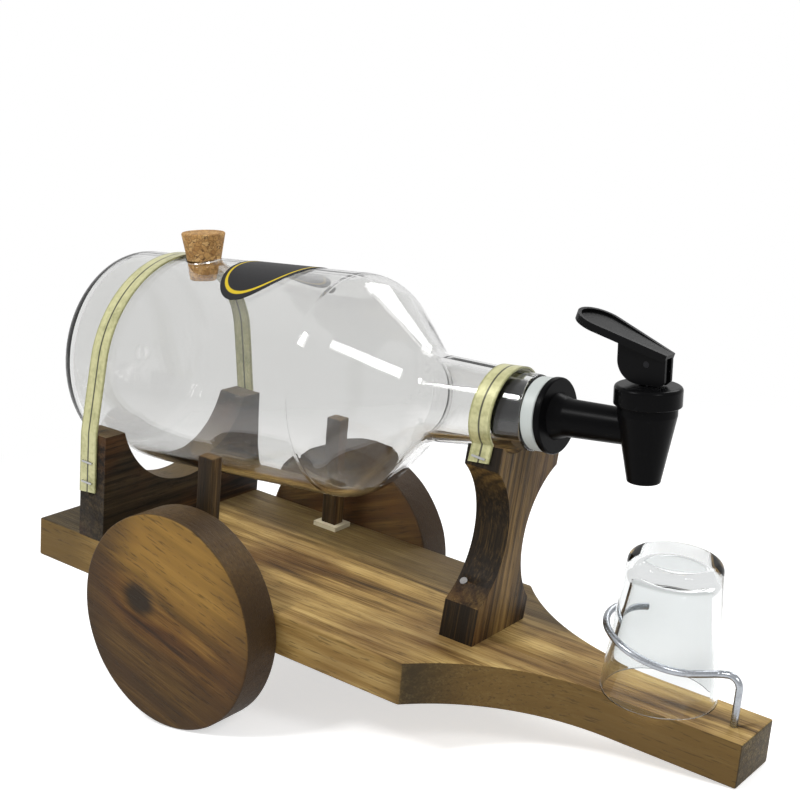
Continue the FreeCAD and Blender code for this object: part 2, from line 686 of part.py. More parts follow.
def build_bottle():
    """Clear glass bottle, one wall turned about its axis, with a filling hole in its back."""
    inner_radius = less(cell.bottle_radius, cell.bottle_wall)
    slant_wall = f"({cell.bottle_wall} / cos({cell.shoulder_slope}))"
    mouth_bore = less(cell.neck_radius, cell.neck_wall)
    root_bore = less(cell.neck_root_radius, cell.neck_wall)
    inner_shoulder = f"({shoulder_corner} - ({slant_wall} - {cell.bottle_wall}) / {shoulder_tan})"
    inner_neck = f"({neck_corner} - ({slant_wall} - {cell.neck_wall}) / {shoulder_tan})"
    shell = turned("bottle_shell", [
        (cell.bottle_punt, "0"),
        ("0", cell.bottle_foot_radius, "3"),
        ("0", cell.bottle_radius, cell.heel_round),
        (shoulder_corner, cell.bottle_radius, cell.shoulder_round),
        (neck_corner, cell.neck_root_radius, cell.neck_sweep),
        (cell.bottle_length, cell.neck_radius, "1.2"),
        (cell.bottle_length, mouth_bore),
        (inner_neck, root_bore, plus(cell.neck_sweep, cell.neck_wall)),
        (inner_shoulder, inner_radius, less(cell.shoulder_round, cell.bottle_wall)),
        (cell.bottle_base, inner_radius, less(cell.heel_round, cell.bottle_wall)),
        (cell.bottle_base, cell.bottle_foot_radius, "3"),
        (plus(cell.bottle_punt, cell.bottle_base), "0"),
    ], upright=False)
    hole = rod("filling_hole", cell.cork_hole_radius, times(2, cell.bottle_radius), cell.cork_station)
    keep("bottle", cut("bottle_glass", shell, hole), bottle_frame)


def build_cork():
    """Tapered cork that closes the filling hole."""
    seat = less(cell.cork_hole_radius, cell.cork_gap)
    foot = less(seat, f"{cell.cork_reach} * {cell.cork_taper}")
    top = plus(seat, f"{cell.cork_stand} * {cell.cork_taper}")
    low = less(cell.bottle_radius, cell.cork_reach)
    high = plus(cell.bottle_radius, cell.cork_stand)
    cork = turned("cork_plug", [
        ("0", low),
        (foot, low, "0.6"),
        (top, high, "0.8"),
        ("0", high),
    ], placement=Placement(Vector(size.cork_station, 0, 0), Rotation()))
    keep("cork", cork, bottle_frame)


def build_label():
    """Bare oval label that follows the round of the bottle."""
    inner = size.bottle_radius + size.face_gap / 2
    outer = inner + size.label_thickness
    long = 3 * size.label_half_length
    start = Vector(size.label_station - long / 2, 0, 0)
    skin = Part.makeCylinder(outer, long, start, Vector(1, 0, 0)).cut(
        Part.makeCylinder(inner, long, start, Vector(1, 0, 0)))
    across, along = Vector(0, 1, 0), Vector(1, 0, 0)
    centre = Vector(size.label_station, 0, 0)
    oval = Part.Ellipse(centre + across * size.label_half_width,
                        centre + along * size.label_half_length, centre)
    stamp = Part.Face(Part.Wire(oval.toShape())).extrude(Vector(0, 0, 2 * size.bottle_radius))
    keep("label", solid("label_oval", skin.common(stamp).Solids[0]), bottle_frame)


# Neck fittings and tap

def build_neck_fittings():
    """Rubber stopper in the neck and silicone washer between mouth and flange."""
    bore = plus(cell.tail_radius, cell.glue_line)
    front = less(cell.bottle_length, cell.bung_inset)
    back = less(front, cell.bung_length)
    seat = less(cell.neck_radius, plus(cell.neck_wall, cell.face_gap))
    bung = turned("stopper", [
        (back, bore), (front, bore), (front, seat, "0.8"), (back, seat, "0.8"),
    ], upright=False)
    keep("neck_bung", bung, bottle_frame)
    low = plus(cell.bottle_length, cell.face_gap)
    high = plus(low, cell.washer_thickness)
    washer = turned("silicone_ring", [
        (low, bore), (high, bore), (high, cell.washer_radius, "1"), (low, cell.washer_radius, "1"),
    ], upright=False)
    keep("tap_washer", washer, bottle_frame)


flange_back = plus(cell.bottle_length, cell.washer_thickness, times(2, cell.face_gap))
boss_top = less(plus(cell.collar_foot, cell.collar_height), plus(cell.collar_roof, cell.face_gap))
chamber_floor = times(-1, cell.seat_depth)
collar_top = plus(cell.collar_foot, cell.collar_height)


def build_tap_body():
    """One moulding: threaded tail, flange, shank and the upright spout with its valve seat."""
    flange_front = plus(flange_back, cell.flange_thickness)
    hub_end = plus(flange_front, cell.hub_length)
    spout_axis = plus(cell.bottle_length, cell.spout_reach)
    shank = turned("tap_shank", [
        (less(flange_back, cell.tail_length), "0"),
        (less(flange_back, cell.tail_length), cell.tail_radius, "0.8"),
        (flange_back, cell.tail_radius),
        (flange_back, cell.flange_radius, "0.8"),
        (flange_front, cell.flange_radius, "0.8"),
        (flange_front, cell.hub_radius),
        (hub_end, cell.shank_radius, "5"),
        (spout_axis, cell.shank_front_radius),
        (spout_axis, "0"),
    ], upright=False)
    tip = times(-1, cell.spout_drop)
    barrel = turned("tap_barrel", [
        ("0", tip),
        (cell.spout_tip_radius, tip, "0.6"),
        (cell.spout_top_radius, less(cell.collar_foot, plus(cell.face_gap, cell.spout_band)), "1"),
        (cell.spout_top_radius, less(cell.collar_foot, cell.face_gap)),
        (cell.boss_radius, less(cell.collar_foot, cell.face_gap)),
        (cell.boss_radius, boss_top),
        ("0", boss_top),
    ], placement=spout_in_bottle)
    chamber = turned("tap_chamber", [
        ("0", tip),
        (cell.outlet_radius, tip),
        (cell.outlet_radius, chamber_floor),
        (cell.chamber_radius, chamber_floor),
        (cell.chamber_radius, boss_top),
        ("0", boss_top),
    ], placement=spout_in_bottle)
    tail_end = less(flange_back, cell.tail_length)
    passage = rod("tap_passage", cell.passage_radius, less(spout_axis, tail_end), tail_end,
                  along=Vector(1, 0, 0))
    moulding = fuse("tap_moulding", shank, barrel)
    keep("tap_body", cut("tap_bored", moulding, chamber, passage), bottle_frame)


def build_collar():
    """Screw cap over the valve chamber, open at the top for the lever."""
    thread = plus(cell.boss_radius, cell.running_gap)
    roof = less(collar_top, cell.collar_roof)
    collar = turned("collar_cap", [
        (thread, cell.collar_foot),
        (cell.collar_radius, cell.collar_foot, "0.5"),
        (cell.collar_radius, collar_top, cell.collar_round),
        (cell.collar_mouth_radius, collar_top),
        (cell.collar_mouth_radius, roof),
        (thread, roof),
    ])
    keep("tap_collar", collar, spout_frame)


def build_valve():
    """Stem seal, valve rod with its flat eye, and the silicone cup on the seat."""
    seal_top = less(boss_top, cell.face_gap)
    seal_bore = plus(cell.stem_radius, cell.running_gap)
    seal_rim = less(cell.chamber_radius, cell.glue_line)
    seal_low = less(seal_top, cell.seal_thickness)
    seal = turned("seal_disc", [
        (seal_bore, seal_low), (seal_rim, seal_low), (seal_rim, seal_top), (seal_bore, seal_top),
    ])
    keep("stem_seal", seal, spout_frame)

    cup_low = plus(chamber_floor, cell.face_gap)
    cup_top = plus(cup_low, cell.cup_height)
    socket = plus(cell.stem_radius, cell.glue_line)
    socket_floor = plus(cup_low, times(0.3, cell.cup_height))
    cup = turned("valve_rubber", [
        ("0", cup_low),
        (cell.cup_radius, cup_low),
        (cell.cup_radius, cup_top, "1.5"),
        (socket, cup_top),
        (socket, socket_floor),
        ("0", socket_floor),
    ])
    keep("valve_cup", cup, spout_frame)

    stem = rod("stem_rod", cell.stem_radius, less(cell.pin_height, socket_floor),
               z=plus(socket_floor, cell.glue_line))
    tab_low = plus(collar_top, cell.face_gap)
    tab = box("stem_tab", cell.stem_tab_length, cell.stem_tab_width, less(cell.pin_height, tab_low),
              x=times(-0.5, cell.stem_tab_length), y=times(-0.5, cell.stem_tab_width), z=tab_low)
    eye = rod("stem_eye", times(0.5, cell.stem_tab_length), cell.stem_tab_width,
              y=times(-0.5, cell.stem_tab_width), z=cell.pin_height, along=Vector(0, 1, 0))
    hole = rod("stem_hole", plus(cell.pin_radius, cell.running_gap), times(2, cell.stem_tab_width),
               y=times(-1, cell.stem_tab_width), z=cell.pin_height, along=Vector(0, 1, 0))
    keep("valve_stem", cut("stem_bored", fuse("stem_blank", stem, tab, eye), hole), spout_frame)


def paddle_outline(inset):
    """Outline of the paddle drawn in by an inset: round at its tip, narrow at the front."""
    nose = size.lever_front
    centre = size.paddle_tip_radius - size.paddle_reach
    slope = math.asin((size.paddle_tip_radius - size.paddle_nose_half) / (nose - centre))
    tip = size.paddle_tip_radius - inset
    half = size.paddle_nose_half - inset / math.cos(slope)
    touch = Vector(centre + tip * math.sin(slope), tip * math.cos(slope), 0)
    across = Vector(touch.x, -touch.y, 0)
    return Part.Wire([
        Part.Arc(touch, Vector(centre - tip, 0, 0), across).toShape(),
        Part.makeLine(across, Vector(nose, -half, 0)),
        Part.makeLine(Vector(nose, -half, 0), Vector(nose, half, 0)),
        Part.makeLine(Vector(nose, half, 0), touch),
    ])


def paddle_shape():
    """Thumb paddle in the spout frame, hollowed inside its rim; the hollow ends at the front."""
    pitch = math.radians(size.paddle_pitch)
    plate = Part.Face(paddle_outline(0)).extrude(Vector(0, 0, size.paddle_thickness))
    hollow = Part.Face(paddle_outline(size.paddle_rim)).extrude(Vector(0, 0, size.paddle_thickness))
    fall = math.degrees(math.atan2(size.paddle_dish, size.lever_front + size.paddle_reach))
    hollow.Placement = Placement(Vector(0, 0, size.paddle_thickness), Rotation(Vector(0, 1, 0), -fall),
                                 Vector(size.lever_front, 0, 0))
    plate = plate.cut(hollow)
    top_at_pin = Vector(0, 0, size.pin_height + size.lever_top - size.paddle_thickness / math.cos(pitch))
    plate.Placement = Placement(top_at_pin, Rotation(Vector(0, 1, 0), size.paddle_pitch))
    return plate


def build_lever():
    """Push lever: paddle on two cheeks with a rounded heel, and the pin through its cheeks."""
    half = size.lever_width / 2
    pitch = math.tan(math.radians(size.paddle_pitch))
    rear, front = -size.lever_back, size.lever_front
    low = number(collar_top) + size.lever_foot_gap
    under = size.pin_height + size.lever_top - size.paddle_thickness / 2
    heel, toe = size.lever_heel, size.lever_toe
    heel_middle = heel * (1 - math.sqrt(0.5))
    arc = Part.Arc(Vector(rear, -half, low + heel),
                   Vector(rear + heel_middle, -half, low + heel_middle),
                   Vector(rear + heel, -half, low)).toShape()
    rest = Part.makePolygon([
        Vector(rear + heel, -half, low),
        Vector(front - toe, -half, low),
        Vector(front, -half, low + toe),
        Vector(front, -half, under - front * pitch),
        Vector(rear, -half, under - rear * pitch),
        Vector(rear, -half, low + heel),
    ])
    block = Part.Face(Part.Wire([arc, *rest.Edges])).extrude(Vector(0, size.lever_width, 0))
    swing = (size.pin_height - low) * math.sin(math.radians(size.lever_travel))
    slot_back = swing + size.stem_tab_length / 2 + 2 * size.lever_play
    slot_top = size.pin_height + size.stem_tab_length / 2 + size.lever_play
    slot = Part.makeBox(slot_back + 2 * front, size.lever_slot, 2 * (slot_top - low),
                        Vector(-slot_back, -size.lever_slot / 2, 2 * low - slot_top))
    bore = Part.makeCylinder(size.pin_radius + size.glue_line, size.lever_width,
                             Vector(0, -half, size.pin_height), Vector(0, 1, 0))
    lever = block.fuse(paddle_shape()).removeSplitter().cut(slot).cut(bore)
    keep("tap_lever", solid("lever_moulding", lever.Solids[0]), spout_frame)
    pin = rod("lever_rivet", cell.pin_radius, cell.lever_width, y=times(-0.5, cell.lever_width),
              z=cell.pin_height, along=Vector(0, 1, 0))
    keep("lever_pin", pin, spout_frame)


# Shot glass and its wire clip

def build_shot_glass():
    """Thick-based shot glass, upside down on the tongue."""
    low = cell.glass_lift
    high = plus(cell.glass_lift, cell.glass_height)
    inside = less(high, cell.glass_base)
    glass = turned("dose_glass", [
        (less(cell.glass_rim_radius, cell.glass_wall), low, "0.7"),
        (cell.glass_rim_radius, low, "0.7"),
        (cell.glass_base_radius, high, "4"),
        ("0", high),
        ("0", inside),
        (cell.glass_bore_radius, inside, "4"),
    ], placement=Placement(Vector(glass_centre, 0, 0), Rotation()))
    keep("shot_glass", glass, cart)


def bend(before, corner, after, radius):
    """Ends and middle of the arc that rounds a corner in space."""
    back = (before - corner).normalize()
    ahead = (after - corner).normalize()
    half = back.getAngle(ahead) / 2
    run = radius / math.tan(half)
    middle = (back + ahead).normalize()
    centre = corner + middle * (radius / math.sin(half))
    return corner + back * run, centre - middle * radius, corner + ahead * run


def straight_wire(start, end):
    """Straight length of wire."""
    return Part.makeCylinder(size.wire_radius, (end - start).Length, start, end - start)


def bent_wire(start, middle, end):
    """Length of wire bent to the arc through three points."""
    arc = Part.Arc(start, middle, end).toShape()
    ahead = arc.tangentAt(arc.FirstParameter)
    section = Part.Face(Part.Wire(Part.makeCircle(size.wire_radius, start, ahead)))
    turn = math.degrees(arc.LastParameter - arc.FirstParameter)
    return section.revolve(arc.Curve.Center, arc.Curve.Axis, turn)


def build_wire():
    """Round wire: upright from a hole in the tongue, then a loop around the shot glass."""
    fall = math.radians(size.wire_fall)
    centre = Vector(glass_centre, 0, size.wire_height)
    ahead = Vector(math.cos(fall), 0, -math.sin(fall))

    def on_loop(angle):
        """Point of the loop at an angle in degrees from straight ahead."""
        turn = math.radians(angle)
        return centre + (ahead * math.cos(turn) + Vector(0, 1, 0) * math.sin(turn)) * wire_loop

    start, end = size.wire_start, size.wire_end
    first = math.radians(start)
    tangent = Vector(0, 1, 0) * math.cos(first) - ahead * math.sin(first)
    joint = on_loop(start)
    hip = joint + tangent * ((-size.wire_foot_side - joint.y) / tangent.y)
    foot = Vector(wire_foot, -size.wire_foot_side, -size.wire_foot_depth + size.face_gap)
    knee = Vector(foot.x, foot.y, hip.z + size.wire_rise)
    knee_in, knee_mid, knee_out = bend(foot, knee, hip, size.wire_knee_round)
    hip_in, hip_mid, hip_out = bend(knee, hip, joint, size.wire_hip_round)
    halfway = (start + end) / 2
    runs = [
        straight_wire(foot, knee_in),
        bent_wire(knee_in, knee_mid, knee_out),
        straight_wire(knee_out, hip_in),
        bent_wire(hip_in, hip_mid, hip_out),
        straight_wire(hip_out, joint),
        bent_wire(joint, on_loop(halfway), on_loop(end)),
    ]
    tube = runs[0].fuse(runs[1:]).removeSplitter()
    keep("glass_holder", solid("bent_wire", tube), cart)


# Straps

def crossing(point, direction, other, other_direction):
    """Where two flat lines meet."""
    cross = direction[0] * other_direction[1] - direction[1] * other_direction[0]
    gap = (other[0] - point[0], other[1] - point[1])
    run = (gap[0] * other_direction[1] - gap[1] * other_direction[0]) / cross
    return point[0] + direction[0] * run, point[1] + direction[1] * run


def outward(side, leg):
    """Direction square to the leg of a strap, away from the board."""
    return -side * leg[1], side * leg[0]


def strap_side(side, hoop, corner, leg, leg_length, thickness):
    """Points of the inner and of the outer face of one side of a strap, from the hoop down.

    Where the corner stands clear of the hoop, the strap leaves the hoop on a tangent and bends
    at the corner.  Otherwise it follows the hoop down to the line of the leg.
    """
    out = outward(side, leg)
    reach = math.hypot(*corner)
    faces = []
    for offset in (0, thickness):
        radius = hoop + offset
        edge = (corner[0] + out[0] * offset, corner[1] + out[1] * offset)
        end = (edge[0] + leg[0] * leg_length, edge[1] + leg[1] * leg_length)
        if reach > hoop:
            turn = math.atan2(corner[1], side * corner[0]) + math.acos(hoop / reach)
            touch = (side * math.cos(turn) * radius, math.sin(turn) * radius)
            down = (side * math.sin(turn), -math.cos(turn))
            faces.append([touch, crossing(touch, down, edge, leg), end])
        else:
            along = edge[0] * leg[0] + edge[1] * leg[1]
            run = math.sqrt(along**2 + radius**2 - edge[0]**2 - edge[1]**2) - along
            faces.append([(edge[0] + leg[0] * run, edge[1] + leg[1] * run), end])
    return faces


def strap_shape(hoop, near, far, width, push):
    """Band over a round body.  near and far are (corner, leg direction, leg length)."""
    thickness = size.strap_thickness
    sides = [strap_side(side, hoop, *data, thickness) for side, data in ((-1, near), (1, far))]
    (near_in, near_out), (far_in, far_out) = sides

    def spot(point):
        """Point of the rear edge of the band."""
        return Vector(0, point[0], point[1]) - push * (width / 2)

    def run(points):
        """Straight edges through points."""
        return Part.makePolygon([spot(point) for point in points]).Edges

    def over(first, radius, last):
        """Arc of the band over the body."""
        return Part.Arc(spot(first), spot((0, radius)), spot(last)).toShape()

    edges = [
        *run(near_in[::-1]),
        over(near_in[0], hoop, far_in[0]),
        *run([*far_in, *far_out[::-1]]),
        over(far_out[0], hoop + thickness, near_out[0]),
        *run([*near_out, near_in[-1]]),
    ]
    return Part.Face(Part.Wire(edges)).extrude(push * width)


def build_rear_strap():
    """Band over the bottle, down the ends of the saddle; it slants with the bottle."""
    rise = math.radians(size.bottle_rise)
    axis_height = size.bottle_height + (size.rear_strap_forward - size.bottle_back) * math.tan(rise)
    hoop = (size.bottle_radius + size.strap_gap) / math.cos(rise)
    edge = size.deck_width / 2 + size.strap_gap
    corner_height = size.saddle_height - axis_height
    leg_length = size.saddle_height - size.rear_strap_end
    near = ((-edge, corner_height), (0, -1), leg_length)
    far = ((edge, corner_height), (0, -1), leg_length)
    push = Vector(1, 0, math.tan(rise))
    band = strap_shape(hoop, near, far, size.strap_width, push)
    place = Placement(Vector(size.rear_strap_forward, 0, axis_height), Rotation())
    strap = cut("rear_stapled_band", solid("rear_band", band, place), *rear_staples)
    keep("rear_strap", strap, cart)


neck_band = bottle_place.multiply(Placement(
    Vector(size.bottle_length - size.front_strap_inset, 0, 0),
    Rotation(Vector(0, 1, 0), size.front_strap_rake),
))
neck_push = Vector(1, 0, math.tan(math.radians(size.front_strap_rake)))


def post_side_in_band(side):
    """Top outer corner of the head of the post, across the neck band, and the way down its side."""
    into_band = neck_band.inverse()
    ahead = into_band.Rotation.multVec(Vector(1, 0, 0))

    def spot(height):
        """Point of the side of the head, brought straight forward into the plane of the band."""
        edge = Vector(number(post_middle), side * size.post_head_half, height)
        point = into_band.multVec(post_turn.multVec(edge))
        return point - ahead * (point.x / ahead.x)

    top, low = spot(number(post_height)), spot(size.post_waist_height)
    leg = unit((top.y, top.z), (low.y, low.z))
    out = outward(side, leg)
    lift = abs(ahead.z / ahead.x - neck_push.z) * size.strap_width / 2
    clear = size.strap_gap + lift * abs(out[1])
    corner = (top.y + out[0] * clear - leg[0] * lift, top.z + out[1] * clear - leg[1] * lift)
    return corner, leg


def build_front_strap():
    """Band over the neck, stapled to both sides of the head of the post; it rakes forward."""
    back = size.bottle_length - size.front_strap_inset - size.strap_width / 2
    rake = math.radians(size.front_strap_rake)
    hoop = (number(neck_radius_at(str(back))) + size.strap_gap) / math.cos(rake)
    near = (*post_side_in_band(-1), size.front_strap_leg)
    far = (*post_side_in_band(1), size.front_strap_leg)
    band = strap_shape(hoop, near, far, size.strap_width, neck_push)
    strap = cut("front_stapled_band", solid("front_band", band, neck_band), *front_staples)
    keep("front_strap", strap, cart)


def staple_shape():
    """Staple with its back along x, its legs pointing down -z from z = 0."""
    wire = size.staple_wire
    back = Part.makeBox(size.staple_crown, wire, wire, Vector(-size.staple_crown / 2, -wire / 2, 0))
    legs = [
        Part.makeBox(wire, wire, size.staple_leg, Vector(x, -wire / 2, -size.staple_leg))
        for x in (-size.staple_crown / 2, size.staple_crown / 2 - wire)
    ]
    return back.fuse(legs).removeSplitter()


def make_rear_staples():
    """Two staples on each end of the saddle."""
    face = size.deck_width / 2 + size.strap_gap + size.strap_thickness
    staples = []
    for side in (-1, 1):
        for height in (size.rear_staple_low, size.rear_staple_high):
            turn = Rotation(Vector(0, 0, 1), Vector(0, side, 0))
            place = Placement(Vector(size.rear_strap_forward, side * face, height), turn)
            staples.append(solid(f"rear_staple_{len(staples)}", staple_shape(), place))
    return staples


def make_front_staples():
    """One staple on each side of the head of the post."""
    staples = []
    for side in (-1, 1):
        corner, leg = post_side_in_band(side)
        out = outward(side, leg)
        run = size.front_strap_leg - size.staple_edge
        middle = [corner[i] + leg[i] * run + out[i] * size.strap_thickness for i in (0, 1)]
        turn = Rotation(Vector(0, 0, 1), Vector(0, out[0], out[1]))
        place = neck_band.multiply(Placement(Vector(0, *middle), turn))
        staples.append(solid(f"front_staple_{len(staples)}", staple_shape(), place))
    return staples


rear_staples = make_rear_staples()
front_staples = make_front_staples()
build_deck()
build_saddle()
build_post()
build_screws()
build_post_nails()
build_stakes()
build_wheels()
build_bottle()
build_cork()
build_label()
build_neck_fittings()
build_tap_body()
build_collar()
build_valve()
build_lever()
build_shot_glass()
build_wire()
build_rear_strap()
build_front_strap()
keep("rear_strap_staples", group("rear_staple_set", *rear_staples), cart)
keep("front_strap_staples", group("front_staple_set", *front_staples), cart)
doc.recompute()

# Nothing is written unless every object is sound

for item in doc.Objects:
    if {"Invalid", "Error"} & set(item.State):
        raise RuntimeError(f"{item.Name} failed: {item.State}")
for item in nodes:
    if item.Shape.isNull() or not item.Shape.isValid() or not item.Shape.Solids:
        raise RuntimeError(f"{item.Label} has no valid shape")

os.makedirs("parts", exist_ok=True)
for item in nodes:
    item.Shape.exportStep(f"parts/{item.Label}.step")
    box_now = item.Shape.BoundBox
    print(f"{item.Label:22s} solids {len(item.Shape.Solids)} volume {item.Shape.Volume:10.1f} mm3 "
          f"x {box_now.XMin:.1f}..{box_now.XMax:.1f} y {box_now.YMin:.1f}..{box_now.YMax:.1f} "
          f"z {box_now.ZMin:.1f}..{box_now.ZMax:.1f}")
print(f"{len(nodes)} pieces, deck pitched {math.degrees(cart_tilt):.2f} degrees")
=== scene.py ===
import logging
import math
from collections.abc import Sequence
from dataclasses import dataclass, field
from enum import Enum

import bmesh
import bpy
from mathutils import Matrix, Vector, noise


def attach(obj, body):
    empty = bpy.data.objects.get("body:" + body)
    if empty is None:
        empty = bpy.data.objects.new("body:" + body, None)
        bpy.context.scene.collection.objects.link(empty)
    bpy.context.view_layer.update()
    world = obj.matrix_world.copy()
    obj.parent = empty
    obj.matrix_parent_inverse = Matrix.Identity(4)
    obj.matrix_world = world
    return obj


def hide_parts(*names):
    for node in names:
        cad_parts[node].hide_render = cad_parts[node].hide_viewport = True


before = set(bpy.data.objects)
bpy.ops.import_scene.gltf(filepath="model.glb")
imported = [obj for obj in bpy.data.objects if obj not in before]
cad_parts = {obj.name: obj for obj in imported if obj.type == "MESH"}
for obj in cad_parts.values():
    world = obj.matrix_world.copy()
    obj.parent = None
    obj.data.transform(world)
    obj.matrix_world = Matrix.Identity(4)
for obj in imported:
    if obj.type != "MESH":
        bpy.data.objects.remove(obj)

log = logging.getLogger("dispenser_cart")
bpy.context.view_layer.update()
MM = 0.001
NODES: dict[str, bpy.types.Object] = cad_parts

Point = tuple[float, float, float]
Flat = tuple[float, float]
Colour = tuple[int, int, int]


class Body(Enum):
    """Moving bodies of the part."""

    CART = "cart"
    WHEELSET = "wheelset"
    CORK = "cork"
    SHOT_GLASS = "shot_glass"
    VALVE = "valve"
    LEVER = "lever"


# Places: each frame turns millimetres of its own into metres of the standing cart


@dataclass(frozen=True)
class Stance:
    """Sizes in millimetres that settle how the cart stands and where its parts lie."""

    deck_length: float = 353.0
    deck_thickness: float = 19.0
    axle_back: float = 103.7
    axle_depth: float = 14.5
    wheel_radius: float = 49.9
    bottle_back: float = 5.0
    bottle_height: float = 76.3
    bottle_rise: float = 6.255
    bottle_length: float = 235.5
    spout_reach: float = 49.5
    spout_lean: float = 4.5
    post_lean: float = 8.5
    glass_from_tip: float = 44.4

    def tilt(self) -> float:
        """Return how far the deck slopes down to the front, in radians."""
        run = self.deck_length - self.axle_back
        drop = self.deck_thickness - self.axle_depth
        return math.asin(self.wheel_radius / math.hypot(run, drop)) - math.atan2(drop, run)

    def deck(self) -> Matrix:
        """Return the frame of the deck: x forward, z = 0 its upper face."""
        turn = Matrix.Rotation(self.tilt(), 4, "Y")
        tip_low = turn @ Vector((self.deck_length, 0, -self.deck_thickness))
        tip = turn @ Vector((self.deck_length, 0, 0))
        rear = turn @ Vector((0, 0, -self.deck_thickness))
        shift = Vector((-(tip.x + rear.x) / 2, 0, -tip_low.z))
        return Matrix.Scale(MM, 4) @ Matrix.Translation(shift) @ turn

    def bottle(self) -> Matrix:
        """Return the frame of the bottle: x along its axis from the base."""
        place = Matrix.Translation((self.bottle_back, 0, self.bottle_height))
        return self.deck() @ place @ Matrix.Rotation(-math.radians(self.bottle_rise), 4, "Y")

    def spout(self) -> Matrix:
        """Return the frame of the spout: z up its axis, origin on the axis of the shank."""
        place = Matrix.Translation((self.bottle_length + self.spout_reach, 0, 0))
        turn = Matrix.Rotation(math.radians(self.bottle_rise - self.spout_lean), 4, "Y")
        return self.bottle() @ place @ turn

    def post(self) -> Matrix:
        """Return the frame of the leaning post."""
        return self.deck() @ Matrix.Rotation(-math.radians(self.post_lean), 4, "X")


STANCE = Stance()
DECK = STANCE.deck()
BOTTLE = STANCE.bottle()
SPOUT = STANCE.spout()
POST = STANCE.post()


def moved(place: Matrix, shift: Point, turns: Point = (0, 0, 0)) -> Matrix:
    """Return a frame shifted in millimetres and then turned.

    Args:
        place: The frame to start from.
        shift: Its new origin, in its own millimetres.
        turns: Degrees about x, y and z.

    Returns:
        The new frame.
    """
    turned = Matrix.Identity(4)
    for degrees, axis in zip(turns, "XYZ"):
        turned = Matrix.Rotation(math.radians(degrees), 4, axis) @ turned
    return place @ Matrix.Translation(shift) @ turned


# Shader graph


def linear(colour: Colour) -> tuple[float, float, float, float]:
    """Return a colour of 0 to 255 per channel as linear light."""
    parts = [channel / 255 for channel in colour]
    light = [c / 12.92 if c <= 0.04045 else ((c + 0.055) / 1.055) ** 2.4 for c in parts]
    return (*light, 1.0)


class Value:
    """Shader number or vector that works with plain arithmetic."""

    def __init__(self, graph: "Graph", socket: bpy.types.NodeSocket) -> None:
        """Wrap an output socket of a graph."""
        self.graph = graph
        self.socket = socket

    def _maths(self, operation: str, first: "Operand", second: "Operand") -> "Value":
        """Return the result of one Math or Vector Math node.

        Args:
            operation: The node's operation.
            first: What it starts from.
            second: What it is joined with.

        Returns:
            The result, a vector where this value is one.
        """
        kind = "ShaderNodeMath" if self.socket.type == "VALUE" else "ShaderNodeVectorMath"
        return self.graph.node(kind, {"operation": operation}, {0: first, 1: second})

    def __add__(self, other: "Operand") -> "Value":
        """Return self + other."""
        return self._maths("ADD", self, other)

    def __radd__(self, other: "Operand") -> "Value":
        """Return other + self."""
        return self._maths("ADD", other, self)

    def __sub__(self, other: "Operand") -> "Value":
        """Return self - other."""
        return self._maths("SUBTRACT", self, other)

    def __rsub__(self, other: "Operand") -> "Value":
        """Return other - self."""
        return self._maths("SUBTRACT", other, self)

    def __mul__(self, other: "Operand") -> "Value":
        """Return self * other."""
        return self._maths("MULTIPLY", self, other)

    def __rmul__(self, other: "Operand") -> "Value":
        """Return other * self."""
        return self._maths("MULTIPLY", other, self)

    def __truediv__(self, other: "Operand") -> "Value":
        """Return self / other."""
        return self._maths("DIVIDE", self, other)

    def __pow__(self, other: float) -> "Value":
        """Return self to a power."""
        return self._maths("POWER", self, other)

    def maths(self, operation: str, other: "Value | float" = 0.0) -> "Value":
        """Return another operation of the Math node on self."""
        return self._maths(operation, self, other)

    def ramp(self, low: float, high: float) -> "Value":
        """Return a soft step.

        Args:
            low: Where it is still 0.
            high: Where it reaches 1; it may lie below low.

        Returns:
            The step, from 0 to 1.
        """
        settings = {"interpolation_type": "SMOOTHSTEP"}
        values = {"Value": self, "From Min": low, "From Max": high}
        return self.graph.node("ShaderNodeMapRange", settings, values)

    def part(self, index: int) -> "Value":
        """Return x, y or z of a vector."""
        return self.graph.node("ShaderNodeSeparateXYZ", {}, {0: self}, output=index)

    def dot(self, other: Sequence) -> "Value":
        """Return the dot product with a fixed vector."""
        settings = {"operation": "DOT_PRODUCT"}
        return self.graph.node("ShaderNodeVectorMath", settings, {0: self, 1: other}, output="Value")


Operand = Value | float | Sequence


